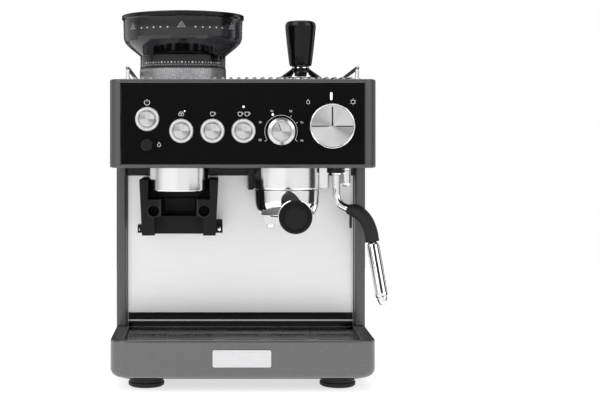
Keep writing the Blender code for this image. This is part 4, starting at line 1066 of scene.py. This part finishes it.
def portafilter():
    body = lathe([(0, 0.2560), (0.0352, 0.2560)] + BODY_PROFILE + [(0, 0.2128)], 128, fillet=0.0004)
    ears = box((-0.0384, -0.0070, 0.2509), (0.0384, 0.0070, 0.2550), corner=0.002, steps=3, soften=0.0006)
    start = Vector((0, machine_box("portafilter_handle")[1].y - GROUP.y - 0.0011, 0.2350))
    away = Vector((0, -math.cos(HANDLE_DIP), -math.sin(HANDLE_DIP)))
    boss = rod(start - away * 0.0129, start - away * 0.0004, 0.0097, sides=64)
    well = rod((0, 0, 0.2172), (0, 0, 0.27), 0.0310, sides=96)
    outlet = rod((0, 0, 0.20), (0, 0, 0.23), 0.0055)
    body = flattened(cut(join(body, ears, boss), well, outlet))
    upright("filter_holder", body, "portafilter", "chrome", GROUP, stands_for=["portafilter_body"],
            bevel=0.0003)
    panel, edge = arch_panel()
    # The grey inset is painted shade for the dark recess in the front of the portafilter.
    upright("arch_painted_shade_inset", panel, "portafilter", "arch_painted_shade_grey", GROUP, slot="grey_metal")
    upright("arch_edge", edge, "portafilter", "chrome", GROUP)
    spout()
    handle(start)
    basket = [(0, 0.2206), (0.0293, 0.2206), (0.0296, 0.2563), (0.0300, 0.2569), (0.0345, 0.2569),
              (0.0345, 0.2563), (0.0304, 0.2563), (0.0300, 0.2200), (0, 0.2200)]
    holes = [hole for ring, count in ((0.006, 8), (0.013, 16), (0.020, 24))
             for hole in rods_round(ring, count, 0.21, 0.23, 0.0007, sides=8)]
    upright("basket_cup", cut(lathe(basket, 96, fillet=0.0003), *holes), "portafilter", "basket_steel",
            GROUP, stands_for=["filter_basket"], slot="polished_steel")


def handle(start):
    """A swelling grip with a polished ring and a satin end cap; start is about the group's axis."""
    grip = [(0, 0), (0.0092, 0), (0.0100, 0.0020), (0.0104, 0.0060), (0.0111, 0.0200), (0.0122, 0.0450),
            (0.0140, 0.0740), (0.0164, 0.0980), (0.0174, 0.1050), (0.0178, 0.1080), (0.0160, 0.1083),
            (0.0160, 0.1113), (0.0186, 0.1116), (0.0191, 0.1140), (0.0187, 0.1175), (0.0172, 0.1215),
            (0.0150, 0.1233), (0.0120, 0.1226), (0, 0.1222)]
    place = (GROUP.x, GROUP.y + start.y, start.z)
    turn = (90 + math.degrees(HANDLE_DIP), 0, 0)
    piece("handle_grip", lathe(grip[::-1], 96, fillet=0.0004), "portafilter", "handle_black", place,
          turn=turn, stands_for=["portafilter_handle"], local=True, slot="black_gloss")
    cap = lathe([(0, 0.1228), (0.0118, 0.1231), (0.0124, 0.1228), (0.0124, 0.1215), (0, 0.1215)], 72)
    piece("handle_cap", cap, "portafilter", "black_plastic", place, turn=turn, local=True,
          slot="black_gloss")
    ring = lathe([(0.0186, 0.1113), (0.0194, 0.1107), (0.0195, 0.1099), (0.0194, 0.1090), (0.0186, 0.1084),
                  (0.0163, 0.1085), (0.0163, 0.1112)], 96, closed=True)
    piece("handle_band", ring, "portafilter", "chrome", place, turn=turn, stands_for=["handle_ring"],
          local=True)


def spout():
    """The double spout: a bar that narrows downwards, with two short nozzles."""
    bottom, top, half_top, half_bottom = 0.2022, 0.2124, 0.0300, 0.0262
    outline = [(-half_top, top), (-half_top, top - 0.004), (-half_top + 0.0010, top - 0.0070),
               (-half_bottom - 0.0012, bottom + 0.0012), (-half_bottom, bottom), (half_bottom, bottom),
               (half_bottom + 0.0012, bottom + 0.0012), (half_top - 0.0010, top - 0.0070),
               (half_top, top - 0.004), (half_top, top)]
    bar = prism(outline, -0.0115, 0.0115)
    nozzles = [rod((side * 0.0205, 0, 0.1985), (side * 0.0205, 0, 0.2060), 0.0046, 0.0052)
               for side in (-1, 1)]
    bores = [rod((side * 0.0205, 0, 0.19), (side * 0.0205, 0, 0.2075), 0.0030) for side in (-1, 1)]
    channel = box((-0.0235, -0.0070, 0.2065), (0.0235, 0.0070, 0.2200))
    solid = flattened(cut(join(bar, *nozzles), channel, *bores))
    upright("spout_bar", solid, "portafilter", "chrome", GROUP, stands_for=["portafilter_spout"],
            bevel=0.0008)


# ------------------------------------------------------------ steam and water

def steam_wand():
    drop = WAND_CENTRE + Vector((0, 0, -0.0039))
    upper = smooth_route([
        drop, (0.1190, 0.0600, 0.2480), (0.1196, 0.0594, 0.2365), (0.1235, 0.0560, 0.2268),
        (0.1330, 0.0515, 0.2215), (0.1440, 0.0460, 0.2180), (0.1535, 0.0410, 0.2085),
        (0.1590, 0.0370, 0.1950), (0.1612, 0.0350, 0.1815),
    ], 8)
    end, tip = Vector((0.1612, 0.0350, 0.1815)), Vector((0.1688, 0.0010, 0.1165))
    slim, thick = 0.0050, 0.0078
    shares = [0.02, 0.035, 0.05, 0.07, 0.10, 0.5, 0.92, 0.95, 0.975, 0.99, 1.0]
    lower = [end.lerp(tip, share) for share in shares]
    swell = [slim / thick] * len(upper) + [0.68, 0.80, 0.90, 0.97, 1.0, 1.0, 1.0, 0.985, 0.94, 0.89, 0.84]
    piece("wand_pipe", tube(upper + lower, thick, swell), "steam_wand", "chrome", WAND_CENTRE,
          stands_for=["steam_wand_tube"], sharp=45)
    route = upper[32:]
    shell = [0.70, 0.74, 0.80, 0.86, 0.90, 0.94, 0.97, 1.0] + [1.0] * (len(route) - 10) + [1.02, 1.0]
    sleeve = tube(route, 0.0087, shell)
    before = route[0] + (route[0] - route[1]).normalized() * 0.004
    beyond = route[-1] + (route[-1] - route[-2]).normalized() * 0.010
    bore = tube([before] + route + [beyond], 0.0059)
    tab = box((0.1345, 0.0480, 0.1975), (0.1375, 0.0530, 0.2165), corner=0.0012, steps=4, soften=0.0008)
    sleeve = cut(join(sleeve, tab), bore)
    piece("wand_sleeve", flattened(sleeve), "steam_wand", "rubber", WAND_CENTRE,
          stands_for=["steam_wand_grip"], sharp=40)
    away = (tip - end).normalized()
    turn = Vector((0, 0, 1)).rotation_difference(away).to_matrix().to_4x4()
    nozzle = lathe([(0, 0.0085), (0.0030, 0.0085), (0.0042, 0.0076), (0.0056, 0.0048), (0.0063, 0.0020),
                    (0.0064, 0.0004), (0, 0.0004)], 64)
    jets = rods_round(0.0022, 4, 0.006, 0.012, 0.0006, top_ring=0.0034, sides=16)
    nozzle = cut(nozzle, *jets)
    nozzle.transform(Matrix.Translation(tip) @ turn)
    piece("wand_nozzle", nozzle, "steam_wand", "chrome", tip, stands_for=["steam_tip"])
    ball = bmesh.new()
    bmesh.ops.create_uvsphere(ball, u_segments=48, v_segments=24, radius=0.0062)
    seat = rod((0, 0, -0.0035), (0, 0, -0.02), 0.0075)
    piece("wand_ball_joint", cut(mesh_from(ball), seat), "wand_ball", "chrome", WAND_CENTRE,
          stands_for=["steam_ball"], local=True)


def hot_water_spout():
    low, high = machine_box("hot_water_spout")
    profile = [(0.0068, high.z), (0.0068, 0.2700), (0.0066, 0.2696), (0.0066, 0.2690), (0.0068, 0.2686),
               (0.0068, 0.2535), (0.0064, 0.2515), (0.0058, 0.2500), (0.0036, low.z), (0.0028, low.z),
               (0.0028, high.z)]
    upright("water_nozzle", lathe(profile, 72, closed=True, fillet=0.0004), "frame", "chrome", HOT_WATER,
            stands_for=["hot_water_spout"])


# ------------------------------------------------------------ tamper

def tamper():
    low = machine_box("tamper_base")[0]
    profile = [(0, 0.4060), (0.0110, 0.4060), (0.0118, 0.4035), (0.0132, 0.4018), (0.0160, 0.3998),
               (0.0220, 0.3955), (0.0280, 0.3912), (0.0290, 0.3896), (0.0290, low.z), (0, low.z)]
    upright("tamper_foot", lathe(profile, 112, fillet=0.0006), "tamper", "chrome", TAMPER,
            stands_for=["tamper_base"])
    profile = [(0, 0.4670), (0.0150, 0.4668), (0.0180, 0.4658), (0.0196, 0.4642), (0.0204, 0.4618),
               (0.0206, 0.4590), (0.0203, 0.4550), (0.0188, 0.4400), (0.0170, 0.4240), (0.0156, 0.4120),
               (0.0150, 0.4085), (0.0140, 0.4066), (0.0130, 0.4063), (0, 0.4063)]
    upright("tamper_grip", lathe(profile, 96, fillet=0.0006), "tamper", "black_gloss", TAMPER,
            stands_for=["tamper_handle"])


# ------------------------------------------------------------ studio

def studio():
    """A pale floor in a white room. What the metal mirrors is a bright band of screens at the object's
    height, with dark gaps at its sides and a dark ceiling, under three large soft lamps."""
    world = bpy.data.worlds.new("studio")
    bpy.context.scene.world = world
    world.use_nodes = True
    tree = world.node_tree
    parts = add_node(tree, "SeparateXYZ", {"Vector": add_node(tree, "TexCoord").outputs["Generated"]})
    bearing = add_node(tree, "Math", {0: parts.outputs["X"], 1: parts.outputs["Y"]}, operation="ARCTAN2")
    scale = add_node(tree, "MapRange", {"From Min": -math.pi, "From Max": math.pi,
                                        "Value": bearing.outputs["Value"]})
    around = ramp_of(tree, scale.outputs["Result"], [
        (0.0, 1.0), (0.05, 1.15), (0.17, 1.1), (0.22, 0.8), (0.26, 0.35), (0.29, 0.8), (0.40, 0.75),
        (0.42, 0.05), (0.62, 0.05), (0.64, 0.9), (0.68, 0.9), (0.70, 0.04), (0.765, 0.04), (0.79, 0.95),
        (0.93, 1.0), (1.0, 1.0)])
    up = ramp_of(tree, parts.outputs["Z"], [
        (0.0, 0.9), (0.30, 1.0), (0.48, 0.9), (0.60, 0.06), (0.90, 0.05), (1.0, 0.5)])
    screens = tree.nodes["Background"]
    fill(tree, screens, {"Color": product(tree, around, up), "Strength": 1.0})
    backdrop = add_node(tree, "Background", {"Color": WHITE, "Strength": 1.0})
    ray = add_node(tree, "LightPath")
    straight = add_node(tree, "Math", {0: ray.outputs["Is Camera Ray"],
                                       1: ray.outputs["Is Transmission Ray"]}, operation="MAXIMUM")
    choose = add_node(tree, "MixShader", {"Fac": straight.outputs["Value"], 1: screens.outputs["Background"],
                                          2: backdrop.outputs["Background"]})
    fill(tree, tree.nodes["World Output"], {"Surface": choose.outputs["Shader"]})

    shape = bmesh.new()
    bmesh.ops.create_circle(shape, cap_ends=True, segments=96, radius=1.3)
    mesh = mesh_from(shape)
    mesh.shade_smooth()
    floor = placed("floor", mesh)
    mesh.materials.append(finish("floor_paper", (0.90, 0.90, 0.90), 0.60, spread=0.01, grain=40, bump=0.01,
                                 sockets={"Emission Color": WHITE, "Emission Strength": 0.66}))

    for name, place, size, power in (("key", (-1.6, -1.5, 2.0), 1.6, 22), ("fill", (1.9, -1.2, 1.6), 1.6, 14),
                                     ("top", (0, 0.2, 2.3), 1.8, 18)):
        lamp = bpy.data.lights.new(name, "AREA")
        lamp.size = size
        lamp.energy = power
        item = placed(name, lamp)
        item.location = place
        aim = Vector((0, 0, 0.25)) - item.location
        item.rotation_euler = aim.to_track_quat("-Z", "Y").to_euler()


EYE = Vector((-0.0364, -1.5, 0.320))


def camera():
    """Level, a little left of the middle, at the height of the front panel."""
    lens = bpy.data.cameras.new("camera")
    lens.sensor_width = 36.0
    lens.lens = 74.25
    lens.shift_x = 0.145
    lens.shift_y = -0.118
    lens.clip_end = 50.0
    item = placed("camera", lens)
    item.location = ORIGIN + EYE
    item.rotation_euler = (math.radians(90), 0, 0)
    bpy.context.scene.camera = item
    bpy.context.scene.view_settings.view_transform = "Standard"


camera()
studio()
upper_housing()
front_panel()
plain_nodes()
top_plate()
splash_panel()
cup_rails()
drip_tray()
drip_grid()
badge()
feet()
cord_gland()
tank_lid()
buttons()
grind_dial()
temperature_dial()
steam_knob()
panel_marks()
hopper()
hopper_gate()
grinder()
cradle()
brew_group()
portafilter()
steam_wand()
hot_water_spout()
tamper()
